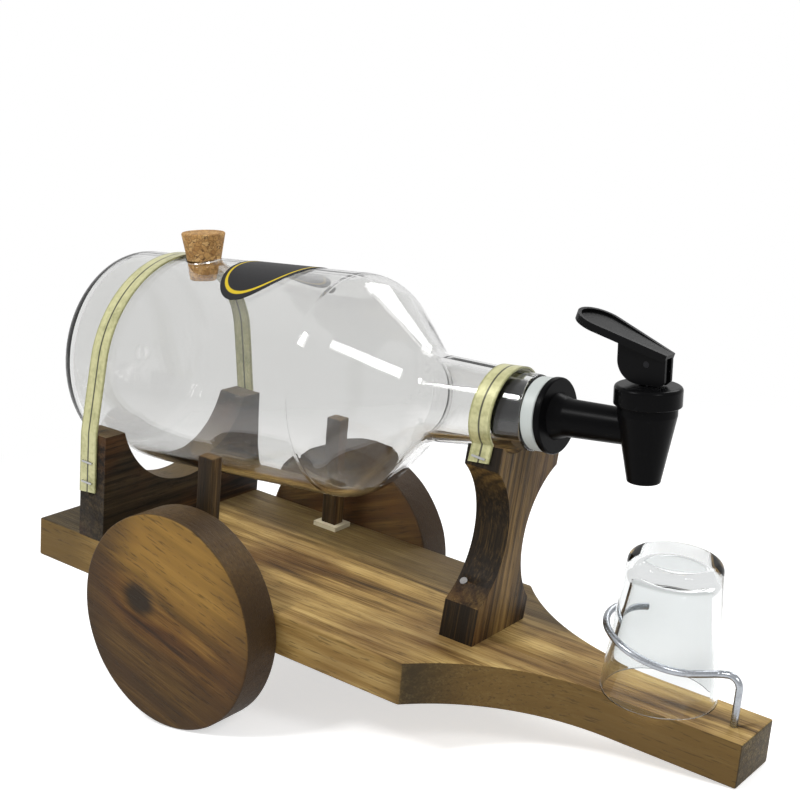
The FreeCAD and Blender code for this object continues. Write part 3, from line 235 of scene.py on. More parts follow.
class Graph:
    """Node tree of one material, of the world or of a piece that repeats."""

    def __init__(self, tree: bpy.types.NodeTree) -> None:
        """Empty a node tree and start to fill it."""
        self.tree = tree
        tree.nodes.clear()

    def node(self, kind: str, settings: dict, values: dict, output: "int | str" = 0) -> Value:
        """Add one node.

        Args:
            kind: Type of the node.
            settings: Its own properties; "stops" fills the ramp of a colour ramp.
            values: Numbers, vectors, colours, links or lists of links by socket name or index.
            output: Name or index of the output that is returned.

        Returns:
            The chosen output.
        """
        added = self.tree.nodes.new(kind)
        for name, setting in settings.items():
            if name == "stops":
                self._fill_ramp(added.color_ramp, setting)
            else:
                setattr(added, name, setting)
        for name, value in values.items():
            if isinstance(value, Value):
                self.tree.links.new(value.socket, added.inputs[name])
            elif isinstance(value, list):
                for part in value:
                    self.tree.links.new(part.socket, added.inputs[name])
            else:
                added.inputs[name].default_value = value
        return Value(self, added.outputs[output]) if len(added.outputs) else None

    @staticmethod
    def _fill_ramp(ramp: bpy.types.ColorRamp, stops: Sequence[tuple[float, Colour]]) -> None:
        """Give a colour ramp its stops.

        Args:
            ramp: The ramp, with two stops at first.
            stops: Pairs of a position and a colour.
        """
        while len(ramp.elements) < len(stops):
            ramp.elements.new(1.0)
        for element, (position, colour) in zip(ramp.elements, stops):
            element.position = position
            element.color = linear(colour)

    def local(self, place: Matrix) -> Value:
        """Place a texture on a piece.

        Args:
            place: The frame of the piece.

        Returns:
            Millimetres in that frame.
        """
        where = self.node("ShaderNodeTexCoord", {}, {}, output="Object")
        values = {
            "Vector": where,
            "Location": place.to_translation(),
            "Rotation": place.to_euler(),
            "Scale": place.to_scale(),
        }
        return self.node("ShaderNodeMapping", {"vector_type": "TEXTURE"}, values)

    def facing(self, place: Matrix) -> Value:
        """Tell which way the surface looks.

        Args:
            place: The frame of the piece.

        Returns:
            The surface normal in that frame.
        """
        normal = self.node("ShaderNodeTexCoord", {}, {}, output="Normal")
        values = {"Vector": normal, "Rotation": place.to_euler()}
        return self.node("ShaderNodeMapping", {"vector_type": "TEXTURE"}, values)

    def noise(self, where: Value, stretch: Point, detail: float = 3.0, rough: float = 0.55) -> Value:
        """Add fractal noise.

        Args:
            where: Coordinates in millimetres.
            stretch: Grains per millimetre along each axis.
            detail: Number of finer layers.
            rough: Share of the finer layers.

        Returns:
            The noise, from 0 to 1.
        """
        values = {"Vector": where * stretch, "Scale": 1.0, "Detail": detail, "Roughness": rough}
        return self.node("ShaderNodeTexNoise", {}, values)

    def mix(self, amount: "Value | float", first: "Value | tuple", second: "Value | tuple") -> Value:
        """Mix two colours.

        Args:
            amount: Share of the second colour.
            first: The first colour.
            second: The second colour.

        Returns:
            The mixed colour.
        """
        values = {0: amount, 6: first, 7: second}
        return self.node("ShaderNodeMix", {"data_type": "RGBA"}, values, output=2)

    def bump(self, height: Value, strength: float, distance: float) -> Value:
        """Bend the surface normal.

        Args:
            height: The height, from 0 to 1.
            strength: How strongly it acts.
            distance: Real depth in millimetres.

        Returns:
            The bent normal.
        """
        values = {"Height": height, "Strength": strength, "Distance": distance * MM}
        return self.node("ShaderNodeBump", {}, values)

    def surface(self, values: dict) -> Value:
        """Return a Principled shader."""
        return self.node("ShaderNodeBsdfPrincipled", {}, values)

    def finish(self, shader: Value, output: str = "ShaderNodeOutputMaterial") -> None:
        """Link the shader to the output."""
        self.node(output, {}, {"Surface": shader})


class Finish:
    """Surface finish that makes one material and hands it out again."""

    _made: dict[str, bpy.types.Material] = {}
    name: str

    def material(self) -> bpy.types.Material:
        """Make the material once.

        Returns:
            The material of this finish.
        """
        if self.name not in Finish._made:
            made = bpy.data.materials.new(self.name)
            made.use_nodes = True
            graph = Graph(made.node_tree)
            graph.finish(self.shader(graph))
            Finish._made[self.name] = made
        return Finish._made[self.name]

    def shader(self, graph: Graph) -> Value:
        """Build the shader of this finish."""
        raise NotImplementedError


KNOT_BROWN = (44, 34, 23)
WHITE = (1.0, 1.0, 1.0, 1.0)


@dataclass(frozen=True)
class Band:
    """Darker or paler band of a board, between two values of one axis; on the faces that look one way."""

    axis: int
    start: float
    end: float
    colour: Colour
    strength: float
    facing: Point | None = None


@dataclass(frozen=True)
class FacingToneAndShading:
    """Tone of the faces that look one way: painted light and shade on the boards, the rim's own darker colour
    on the wheels.
    """

    direction: Point
    colour: Colour
    strength: float


@dataclass(frozen=True)
class Knot:
    """Knot in the face of a board, with the grain running around it."""

    x: float
    y: float
    length: float
    width: float
    dark: float = 0.9


@dataclass(frozen=True)
class Tones:
    """Colours of scorched wood, from the palest grain to the char, and a warm stain."""

    light: Colour
    middle: Colour
    brown: Colour
    dark: Colour
    tinge: Colour = (92, 60, 32)


@dataclass(frozen=True)
class Wood(Finish):
    """Scorched, brushed and oiled softwood; x of its frame is the grain."""

    name: str
    place: Matrix
    tones: Tones
    pitch: float = 5.0
    heart: Flat = (30.0, -60.0)
    warp: float = 5.0
    scorch: float = 0.4
    contrast: float = 1.7
    ringed: float = 0.32
    edge_burn: float = 0.0
    fleck: float = 0.5
    relief: float = 0.25
    rough: float = 0.55
    bands: tuple[Band, ...] = ()
    faces: tuple[FacingToneAndShading, ...] = ()
    knots: tuple[Knot, ...] = ()

    def shader(self, graph: Graph) -> Value:
        """Build growth rings, fibres, scorch, flecks, bands, tones by facing and knots; the tones by facing
        paint light and shade on the boards.

        Args:
            graph: Node tree of the material.

        Returns:
            The shader.
        """
        at = graph.local(self.place)
        x, y, z = at.part(0), at.part(1), at.part(2)
        core = None
        for knot in self.knots:
            dx, dy = x - knot.x, y - knot.y
            spread = (dx / knot.length).maths("POWER", 2.0) + (dy / knot.width).maths("POWER", 2.0)
            y = y - dy * (0.0 - spread).maths("EXPONENT") * 0.9
            inside = (0.0 - spread * 2.4).maths("EXPONENT") * knot.dark
            core = inside if core is None else core.maths("MAXIMUM", inside)
        sway = graph.noise(at, (0.006, 0.02, 0.02), 2.0) - 0.5
        fibre = graph.noise(at, (0.03, 1.0, 1.0), 4.0, 0.7)
        coarse = graph.noise(at, (0.009, 0.17, 0.17), 4.0, 0.62)
        blotch = graph.noise(at, (0.011, 0.045, 0.045), 3.0)
        dy, dz = y - self.heart[0], z - self.heart[1]
        radius = (dy * dy + dz * dz).maths("SQRT") + sway * (2.0 * self.warp) + (coarse - 0.5) * 1.6
        wave = (radius * (2 * math.pi / self.pitch)).maths("SINE") * 0.5 + 0.5
        rings = wave.maths("POWER", 2.4) * (blotch.ramp(0.3, 0.6) * 0.7 + 0.3)
        figure = (fibre - 0.5) * 0.9 + (coarse - 0.5) * self.contrast + rings * self.ringed + 0.34
        tones = self.tones
        stops = [(0.08, tones.light), (0.38, tones.middle), (0.66, tones.brown), (0.95, tones.dark)]
        colour = graph.node("ShaderNodeValToRGB", {"stops": stops}, {0: figure})
        warm = graph.noise(at, (0.013, 0.03, 0.03), 2.0).ramp(0.42, 0.66)
        colour = graph.mix(warm * 0.55, colour, linear(tones.tinge))
        low, high = 0.74 - self.scorch * 0.24, 0.86 - self.scorch * 0.2
        scorched = (coarse * 0.55 + blotch * 0.5 + fibre * 0.2).ramp(low, high)
        colour = graph.mix(scorched * min(0.95, 0.5 + self.scorch), colour, linear(tones.dark))
        if self.edge_burn:
            spot = at * (1.0, 1.0, 0.0)
            reach = graph.node("ShaderNodeVectorMath", {"operation": "LENGTH"}, {0: spot}, output="Value")
            rim = (reach + (coarse - 0.5) * 14.0).ramp(self.edge_burn - 9.0, self.edge_burn + 3.0) * 0.7
            colour = graph.mix(rim, colour, linear(tones.dark))
        for band in self.bands:
            edge = at.part(band.axis) + (coarse - 0.5) * 26.0
            mask = edge.ramp(band.start, band.end) * (fibre * 0.7 + 0.62)
            if band.facing:
                mask = mask * graph.facing(self.place).dot(band.facing).ramp(0.4, 0.75)
            colour = graph.mix(mask * band.strength, colour, linear(band.colour))
        # Tones by facing: painted light and shade on the boards, the rim's own colour on the wheels.
        if self.faces:
            facing = graph.facing(self.place)
            for tone in self.faces:
                mask = facing.dot(tone.direction).ramp(0.55, 0.9) * (fibre + 0.45).maths("MINIMUM", 1.0)
                colour = graph.mix(mask * tone.strength, colour, linear(tone.colour))
        dash = graph.noise(at, (0.11, 1.1, 1.1), 2.0).ramp(0.57, 0.68) * self.fleck
        colour = graph.mix(dash, colour, linear(tones.dark))
        height = rings * 0.5 + fibre - dash
        if core is not None:
            ragged = (core * (fibre * 0.9 + 0.55)).ramp(0.12, 0.6)
            colour = graph.mix(ragged, colour, linear(KNOT_BROWN))
            height = height - ragged * 1.5
        return graph.surface({
            "Base Color": colour,
            "Roughness": fibre * 0.25 + (self.rough - 0.12),
            "Specular IOR Level": 0.16,
            "Normal": graph.bump(height, 0.7, self.relief),
        })


@dataclass(frozen=True)
class Glass(Finish):
    """Clear glass with a grey tint; on the bottle the grey is painted shade for what is seen through it. Its
    shadow lets the light through.
    """

    name: str
    place: Matrix
    tint_and_shade: Colour
    ripple: float = 0.05
    seams: tuple[float, ...] = ()
    bend: float = 1.45

    def shader(self, graph: Graph) -> Value:
        """Build the glass, its mould seams and its thin shadow.

        Args:
            graph: Node tree of the material.

        Returns:
            The shader.
        """
        at = graph.local(self.place)
        waves = graph.noise(at, (0.03, 0.06, 0.06), 1.0)
        for seam in self.seams:
            waves = waves + (1.0 - (at.part(0) - seam).maths("ABSOLUTE").ramp(0.0, 0.7)) * 1.5
        specks = graph.noise(at, (0.7, 0.7, 0.7), 1.0).ramp(0.74, 0.8)
        body = graph.surface({
            "Base Color": linear(self.tint_and_shade),
            "Roughness": specks * 0.12,
            "IOR": self.bend,
            "Transmission Weight": 1.0,
            "Normal": graph.bump(waves, self.ripple, 1.0),
        })
        clear = graph.node("ShaderNodeBsdfTransparent", {}, {"Color": (0.9, 0.9, 0.9, 1.0)})
        shadow = graph.node("ShaderNodeLightPath", {}, {}, output="Is Shadow Ray")
        return graph.node("ShaderNodeMixShader", {}, {0: shadow, 1: body, 2: clear})


@dataclass(frozen=True)
class Moulded(Finish):
    """Moulded plastic or rubber with faint flow marks and scuffs."""

    name: str
    place: Matrix
    colour: Colour
    rough: float
    grain: float = 0.03
    through: float = 0.0
    shine: float = 0.5

    def shader(self, graph: Graph) -> Value:
        """Build a smooth moulding with a fine grain.

        Args:
            graph: Node tree of the material.

        Returns:
            The shader.
        """
        at = graph.local(self.place)
        broad = graph.noise(at, (0.12, 0.12, 0.12), 2.0)
        fine = graph.noise(at, (2.2, 2.2, 2.2), 2.0)
        scuff = graph.noise(at, (0.25, 3.0, 0.25), 1.0).ramp(0.66, 0.8)
        pale = tuple(min(255, channel + 9) for channel in self.colour)
        return graph.surface({
            "Base Color": graph.mix(scuff * 0.4 + broad * 0.15, linear(self.colour), linear(pale)),
            "Roughness": broad * 0.12 + scuff * 0.1 + (self.rough - 0.06),
            "Specular IOR Level": self.shine,
            "Subsurface Weight": self.through,
            "Subsurface Radius": (0.004, 0.004, 0.004),
            "Normal": graph.bump(fine + broad * 0.5, 0.3, self.grain),
        })


@dataclass(frozen=True)
class Metal(Finish):
    """Drawn or plated metal with fine lines along it."""

    name: str
    place: Matrix
    colour: Colour
    rough: float = 0.3
    spangle: float = 0.0

    def shader(self, graph: Graph) -> Value:
        """Build the metal.

        Args:
            graph: Node tree of the material.

        Returns:
            The shader.
        """
        at = graph.local(self.place)
        lines = graph.noise(at, (0.3, 3.5, 3.5), 2.0)
        patches = graph.noise(at, (0.5, 0.5, 0.5), 2.0)
        dull = tuple(int(channel * 0.72) for channel in self.colour)
        return graph.surface({
            "Base Color": graph.mix(patches * (0.5 + self.spangle), linear(self.colour), linear(dull)),
            "Metallic": 1.0,
            "Roughness": lines * 0.14 + patches * 0.1 + (self.rough - 0.1),
            "Normal": graph.bump(lines, 0.25, 0.03),
        })


@dataclass(frozen=True)
class Lacquered(Finish):
    """Pale lacquer on a ribbed band; the groove keeps dark."""

    name: str
    place: Matrix
    colour: Colour
    shade: Colour
    groove: Colour
    across: int
    centre: float
    slope: float = 0.0
    half: float = 5.1

    def shader(self, graph: Graph) -> Value:
        """Build the band's stripes from its cross coordinate.

        Args:
            graph: Node tree of the material.

        Returns:
            The shader.
        """
        at = graph.local(self.place)
        side = at.part(self.across) - at.part(2) * self.slope - self.centre
        wander = graph.noise(at, (0.08, 0.08, 0.08), 2.0) - 0.5
        dirt = graph.noise(at, (0.5, 0.5, 0.5), 3.0)
        distance = side.maths("ABSOLUTE")
        line = 1.0 - distance.ramp(0.28, 0.62)
        rim = distance.ramp(self.half - 1.0, self.half - 0.4) * 0.75
        worn = (wander + dirt * 0.8 - 0.1).ramp(0.1, 0.9)
        colour = graph.mix(worn, linear(self.colour), linear(self.shade))
        colour = graph.mix(rim * (dirt + 0.35), colour, linear(self.shade))
        colour = graph.mix(line * 0.92, colour, linear(self.groove))
        return graph.surface({
            "Base Color": colour,
            "Metallic": 0.15,
            "Roughness": dirt * 0.2 + 0.3,
            "Coat Weight": 0.3,
            "Normal": graph.bump(dirt, 0.3, 0.05),
        })


@dataclass(frozen=True)
class PressedCork(Finish):
    """Cork granules with dark pits."""

    name: str
    place: Matrix
    granules: float = 0.42

    def shader(self, graph: Graph) -> Value:
        """Build granules and pits.

        Args:
            graph: Node tree of the material.

        Returns:
            The shader.
        """
        at = graph.local(self.place)
        swirl = graph.node("ShaderNodeTexNoise", {}, {"Vector": at, "Scale": 0.35, "Detail": 2.0}, output=1)
        granules = {"Vector": at + swirl * (3.0, 3.0, 3.0), "Scale": self.granules}
        cells = graph.node("ShaderNodeTexVoronoi", {}, granules, output=1)
        tone = graph.node("ShaderNodeSeparateColor", {}, {0: cells}, output=0)
        edge = graph.node("ShaderNodeTexVoronoi", {"feature": "DISTANCE_TO_EDGE"}, granules)
        pits = graph.noise(at, (0.55, 0.55, 0.7), 3.0, 0.6).ramp(0.58, 0.68)
        stops = [(0.0, (148, 102, 52)), (0.35, (184, 138, 78)), (0.7, (204, 160, 98)), (1.0, (228, 190, 132))]
        grains = tone * 0.6 + graph.noise(at, (1.5, 1.5, 1.5)) * 0.4
        colour = graph.node("ShaderNodeValToRGB", {"stops": stops}, {0: grains})
        seams = 1.0 - edge.ramp(0.02, 0.14)
        colour = graph.mix(seams * 0.45, colour, linear((92, 56, 28)))
        colour = graph.mix(pits * 0.8, colour, linear((66, 40, 22)))
        height = edge.ramp(0.0, 0.2) - pits * 1.6
        return graph.surface({
            "Base Color": colour,
            "Roughness": pits * 0.1 + 0.72,
            "Normal": graph.bump(height, 0.7, 0.25),
        })


@dataclass(frozen=True)
class OvalPaper(Finish):
    """Black paper with a thin yellow line inside its oval edge."""

    name: str
    place: Matrix
    centre: float
    half_length: float
    half_width: float

    def shader(self, graph: Graph) -> Value:
        """Build the paper and its line.

        Args:
            graph: Node tree of the material.

        Returns:
            The shader.
        """
        at = graph.local(self.place)
        along = (at.part(0) - self.centre) / self.half_length
        across = at.part(1) / self.half_width
        edge = (along * along + across * across).maths("SQRT")
        line = edge.ramp(0.845, 0.86) * (1.0 - edge.ramp(0.895, 0.91))
        fibres = graph.noise(at, (0.9, 0.9, 0.9), 4.0)
        black = graph.mix(fibres, linear((20, 20, 22)), linear((34, 33, 35)))
        return graph.surface({
            "Base Color": graph.mix(line, black, linear((214, 186, 40))),
            "Roughness": fibres * 0.15 + 0.42,
            "Specular IOR Level": 0.2,
            "Normal": graph.bump(fibres, 0.2, 0.02),
        })


# Meshes


def add_piece(
    name: str,
    mesh: bpy.types.Mesh,
    finish: Finish,
    body: Body,
    replaces: Sequence[str] = (),
) -> bpy.types.Object:
    """Put a finished mesh in the scene as a piece of the object.

    Args:
        name: Name of the piece.
        mesh: Its mesh, in metres of the standing cart.
        finish: Its surface.
        body: The body that carries it.
        replaces: CAD nodes that it stands for.

    Returns:
        The new object.
    """
    made = bpy.data.objects.new(name, mesh)
    bpy.context.scene.collection.objects.link(made)
    if not mesh.materials:
        mesh.materials.append(finish.material())
    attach(made, body.value)
    if replaces:
        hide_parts(*replaces)
    log.info("%s: %d faces", name, len(mesh.polygons))
    return made


def as_mesh(name: str, shape: bmesh.types.BMesh, sharp: float = 35.0) -> bpy.types.Mesh:
    """Turn a working mesh into a finished one.

    Args:
        name: Name of the mesh.
        shape: The working mesh, which is freed.
        sharp: Edges that turn more than this many degrees are shaded sharp.

    Returns:
        The smooth-shaded mesh.
    """
    mesh = bpy.data.meshes.new(name)
    shape.to_mesh(mesh)
    shape.free()
    mesh.shade_smooth()
    mesh.set_sharp_from_angle(angle=math.radians(sharp))
    return mesh


def softened(node: str, width: float, least: float = 1.2, angle: float = 40.0) -> bmesh.types.BMesh:
    """Copy a CAD node and break its sharp edges, as sanding does.

    Args:
        node: Name of the CAD node.
        width: Width of the broken edge in millimetres.
        least: Edges shorter than this, such as those of small holes, stay sharp.
        angle: Edges that turn more than this many degrees are broken.

    Returns:
        The working mesh.
    """
    shape = bmesh.new()
    shape.from_mesh(NODES[node].data)
    bmesh.ops.remove_doubles(shape, verts=shape.verts, dist=2e-6)
    bmesh.ops.dissolve_limit(shape, angle_limit=math.radians(0.3), verts=shape.verts, edges=shape.edges)
    limit = math.radians(angle)
    sharp = [
        edge for edge in shape.edges
        if len(edge.link_faces) == 2 and edge.calc_face_angle(0) > limit and edge.calc_length() > least * MM
    ]
    bmesh.ops.bevel(
        shape, geom=sharp, offset=width * MM, segments=2, profile=0.6, affect="EDGES", clamp_overlap=True
    )
    return shape


def dress(node: str, finish: Finish) -> None:
    """Give a CAD node its finish.

    Args:
        node: Name of the CAD node.
        finish: Its surface.
    """
    data = NODES[node].data
    data.materials.clear()
    data.materials.append(finish.material())
    log.info("%s: finish %s", node, finish.name)


@dataclass
class Woodwork:
    """Deck, saddle, post and stakes."""

    edge: float = 0.9
    stake_edge: float = 0.8
    saddle_station: float = 35.0
    stake_station: float = 100.0
    post_station: float = 222.0

    def deck_finish(self) -> Wood:
        """Return the deck's finish: golden, darker towards its far side and its rear, with painted shade in
        its scoop and on its sides and ends.
        """
        return Wood(
            "deck_wood", DECK, Tones((204, 176, 116), (172, 142, 86), (124, 96, 54), (60, 47, 30)),
            pitch=6.5, heart=(-10.0, -46.0), warp=7.0, scorch=0.1, fleck=0.45, contrast=1.5,
            bands=(
                Band(1, 10.0, 30.0, (78, 64, 40), 0.85),
                Band(0, 52.0, 20.0, (64, 54, 36), 1.0),
                # Painted shade on the faces of the scoop.
                Band(0, 205.0, 222.0, (50, 40, 26), 0.95, (0.3, -0.95, 0.0)),
            ),
            # Painted shade on the near and far sides and on both ends.
            faces=(
                FacingToneAndShading((0, -1, 0), (138, 108, 58), 0.5),
                FacingToneAndShading((0, 1, 0), (78, 60, 38), 0.6),
                FacingToneAndShading((-1, 0, 0), (70, 55, 35), 0.6),
                FacingToneAndShading((1, 0, 0), (58, 50, 34), 0.95),
            ),
        )

    def saddle_finish(self) -> Wood:
        """Return the saddle's finish: nearly black, its horns paler on top with painted light, its far side
        in painted shade.
        """
        return Wood(
            "saddle_wood", moved(DECK, (self.saddle_station, 0, 0), (0, 0, 90)),
            Tones((70, 58, 40), (47, 39, 28), (34, 28, 21), (20, 17, 14)),
            pitch=4.0, heart=(10.0, -50.0), scorch=0.5, fleck=0.5,
            # Painted light on the top faces, painted shade on the far side.
            faces=(FacingToneAndShading((0, 0, 1), (104, 88, 62), 0.75), FacingToneAndShading((0, 1, 0), (30, 27, 21), 0.8)),
        )

    def post_finish(self) -> Wood:
        """Return the post's finish: striped in front, with painted shade on its sides."""
        return Wood(
            "post_wood", moved(POST, (self.post_station, 0, 0), (0, 90, 0)),
            Tones((140, 112, 66), (98, 76, 44), (58, 46, 29), (30, 24, 18)),
            pitch=4.4, heart=(22.0, 26.0), warp=3.0, scorch=0.3, fleck=0.5,
            # Painted shade on the near side and, less, on the far side.
            faces=(FacingToneAndShading((0, -1, 0), (29, 23, 16), 1.0), FacingToneAndShading((0, 1, 0), (46, 36, 26), 0.6)),
        )

    def stake_finish(self) -> Wood:
        """Return the finish of the two pegs."""
        return Wood(
            "stake_wood", moved(DECK, (self.stake_station, 0, 0), (0, 90, 0)),
            Tones((110, 88, 54), (72, 56, 35), (48, 38, 26), (28, 23, 18)),
            pitch=3.2, heart=(60.0, 14.0), scorch=0.4, fleck=0.5,
            # Painted light on the rear faces, painted shade on the near side.
            faces=(FacingToneAndShading((-1, 0, 0), (130, 104, 64), 0.4), FacingToneAndShading((0, -1, 0), (34, 28, 20), 0.7)),
        )

    def build(self) -> None:
        """Build the boards with broken edges."""
        stakes = self.stake_finish()
        for node, finish, width in (
            ("deck", self.deck_finish(), self.edge),
            ("rear_saddle", self.saddle_finish(), self.edge),
            ("front_post", self.post_finish(), self.edge),
            ("side_stake_near", stakes, self.stake_edge),
            ("side_stake_far", stakes, self.stake_edge),
        ):
            mesh = as_mesh(node + "_board", softened(node, width))
            add_piece(node + "_board", mesh, finish, Body.CART, (node,))


@dataclass(frozen=True)
class Disc:
    """What sets one wheel apart: its grain's turn, the pattern of its rim, its golden patch and knots."""

    node: str
    turn: float
    seed: float
    tones: Tones
    golden: float
    knots: tuple[Knot, ...]


WHEEL_CHAR = (42, 31, 20)
WHEEL_STAIN = (82, 50, 26)
DISCS = (
    Disc(
        "wheel_near", 14.0, 2.0,
        Tones((154, 116, 58), (114, 82, 40), (76, 53, 28), WHEEL_CHAR, WHEEL_STAIN), 0.6,
        (Knot(-17.0, 2.0, 17.0, 12.5, 0.75), Knot(26.0, 30.0, 8.0, 4.0, 0.2)),
    ),
    # The far wheel's colours are darker than the near wheel's: painted shade on its inner face.
    Disc(
        "wheel_far", -20.0, 4.0,
        Tones((104, 82, 46), (76, 60, 36), (54, 42, 28), WHEEL_CHAR, WHEEL_STAIN), 0.0,
        (Knot(12.0, -14.0, 12.0, 7.0, 0.5),),
    ),
)


@dataclass
class Wheels:
    """Two hand-cut discs and their rod."""

    radius: float = 49.9
    unevenness: float = 0.5
    uneven_from: float = 0.8
    waves: float = 1.6
    edge: float = 0.5
    rim_colour: Colour = (56, 42, 27)
    rim_sides: int = 6

    def cut_by_hand(self, shape: bmesh.types.BMesh, seed: float) -> None:
        """Make the rim of a disc slightly uneven.

        Args:
            shape: The working mesh of the disc.
            seed: Picks the pattern.
        """
        place = moved(DECK, (STANCE.axle_back, 0, -STANCE.axle_depth))
        inverse = place.inverted()
        for vert in shape.verts:
            spot = inverse @ vert.co
            if math.hypot(spot.x, spot.z) < self.uneven_from * self.radius:
                continue
            angle = math.atan2(spot.z, spot.x)
            around = Vector((math.cos(angle) * self.waves, math.sin(angle) * self.waves, seed))
            factor = 1 - self.unevenness * abs(noise.noise(around)) / self.radius
            vert.co = place @ Vector((spot.x * factor, spot.y, spot.z * factor))

    def disc_finish(self, disc: Disc) -> Wood:
        """Make the wood of one wheel.

        Args:
            disc: The wheel.

        Returns:
            Its finish, smoky towards the rim.
        """
        centre = (STANCE.axle_back, 0.0, -STANCE.axle_depth)
        angles = (step * 2 * math.pi / self.rim_sides for step in range(self.rim_sides))
        return Wood(
            disc.node + "_wood", moved(DECK, centre, (90.0, disc.turn, 0.0)), disc.tones,
            pitch=9.0, heart=(-54.0, 30.0), warp=8.0, scorch=0.2, fleck=0.5, contrast=1.4, relief=0.3,
            edge_burn=self.radius,
            bands=(
                Band(1, 2.0, 24.0, (166, 128, 62), disc.golden),
                Band(1, -4.0, -26.0, (62, 47, 28), 0.75),
                Band(0, 16.0, 44.0, (84, 60, 34), 0.6),
                Band(0, -22.0, -44.0, (62, 46, 30), 0.75),
            ),
            faces=tuple(FacingToneAndShading((math.cos(a), math.sin(a), 0.0), self.rim_colour, 0.85) for a in angles),
            knots=disc.knots,
        )

    def build(self) -> None:
        """Build both wheels and dress the rod."""
        for disc in DISCS:
            shape = softened(disc.node, self.edge)
            self.cut_by_hand(shape, disc.seed)
            name = disc.node + "_disc"
            mesh = as_mesh(name, shape)
            add_piece(name, mesh, self.disc_finish(disc), Body.WHEELSET, (disc.node,))
        axle = moved(DECK, (STANCE.axle_back, 0.0, -STANCE.axle_depth), (0, 0, 90))
        dress("wheel_axle", Metal("axle_steel", axle, (168, 168, 170), 0.32))


@dataclass
class Bottle:
    """Glass bottle with its cork, bare label and the rubber stopper in its neck."""

    label_station: float = 95.6
    label_half_length: float = 20.2
    label_half_width: float = 32.3
    label_margin: float = 0.4
    seams: tuple[float, ...] = (140.8,)

    def build(self) -> None:
        """Dress the bottle and what sits on it."""
        # The bottle's grey is painted shade: it darkens what is seen through the glass.
        dress("bottle", Glass("bottle_glass", BOTTLE, (230, 230, 229), seams=self.seams))
        dress("cork", PressedCork("cork", BOTTLE))
        halves = (self.label_half_length + self.label_margin, self.label_half_width + self.label_margin)
        dress("label", OvalPaper("label_paper", BOTTLE, self.label_station, *halves))
        dress("neck_bung", Moulded("bung_rubber", BOTTLE, (12, 12, 13), 0.6, 0.05, shine=0.08))
        dress("tap_washer", Moulded("washer_silicone", BOTTLE, (196, 202, 199), 0.4, 0.02, 0.2))


@dataclass
class Tap:
    """Black plastic tap with its lever and valve."""

    black: Colour = (9, 9, 10)

    def build(self) -> None:
        """Dress the pieces of the tap."""
        dress("tap_body", Moulded("tap_black", SPOUT, self.black, 0.3, shine=0.04))
        dress("tap_collar", Moulded("collar_black", SPOUT, self.black, 0.24, shine=0.05))
        dress("tap_lever", Moulded("lever_black", SPOUT, self.black, 0.36, 0.05, shine=0.08))
        silicone = Moulded("cup_silicone", SPOUT, (206, 204, 196), 0.45, 0.02, 0.2)
        dress("stem_seal", silicone)
        dress("valve_cup", silicone)
        dress("lever_pin", Metal("blackened_pin", SPOUT, (44, 44, 46), 0.35))
        dress("valve_stem", Metal("pin_steel", SPOUT, (190, 190, 194), 0.22))


@dataclass
class GlassAndWire:
    """Upturned shot glass and the wire that fences it."""

    def build(self) -> None:
        """Dress the glass and the wire."""
        place = moved(DECK, (STANCE.deck_length - STANCE.glass_from_tip, 0, 0), (0, -90, 0))
        dress("shot_glass", Glass("shot_glass", place, (226, 228, 228), 0.12, bend=1.2))
        dress("glass_holder", Metal("wire_steel", DECK, (176, 180, 186), 0.24, 0.3))


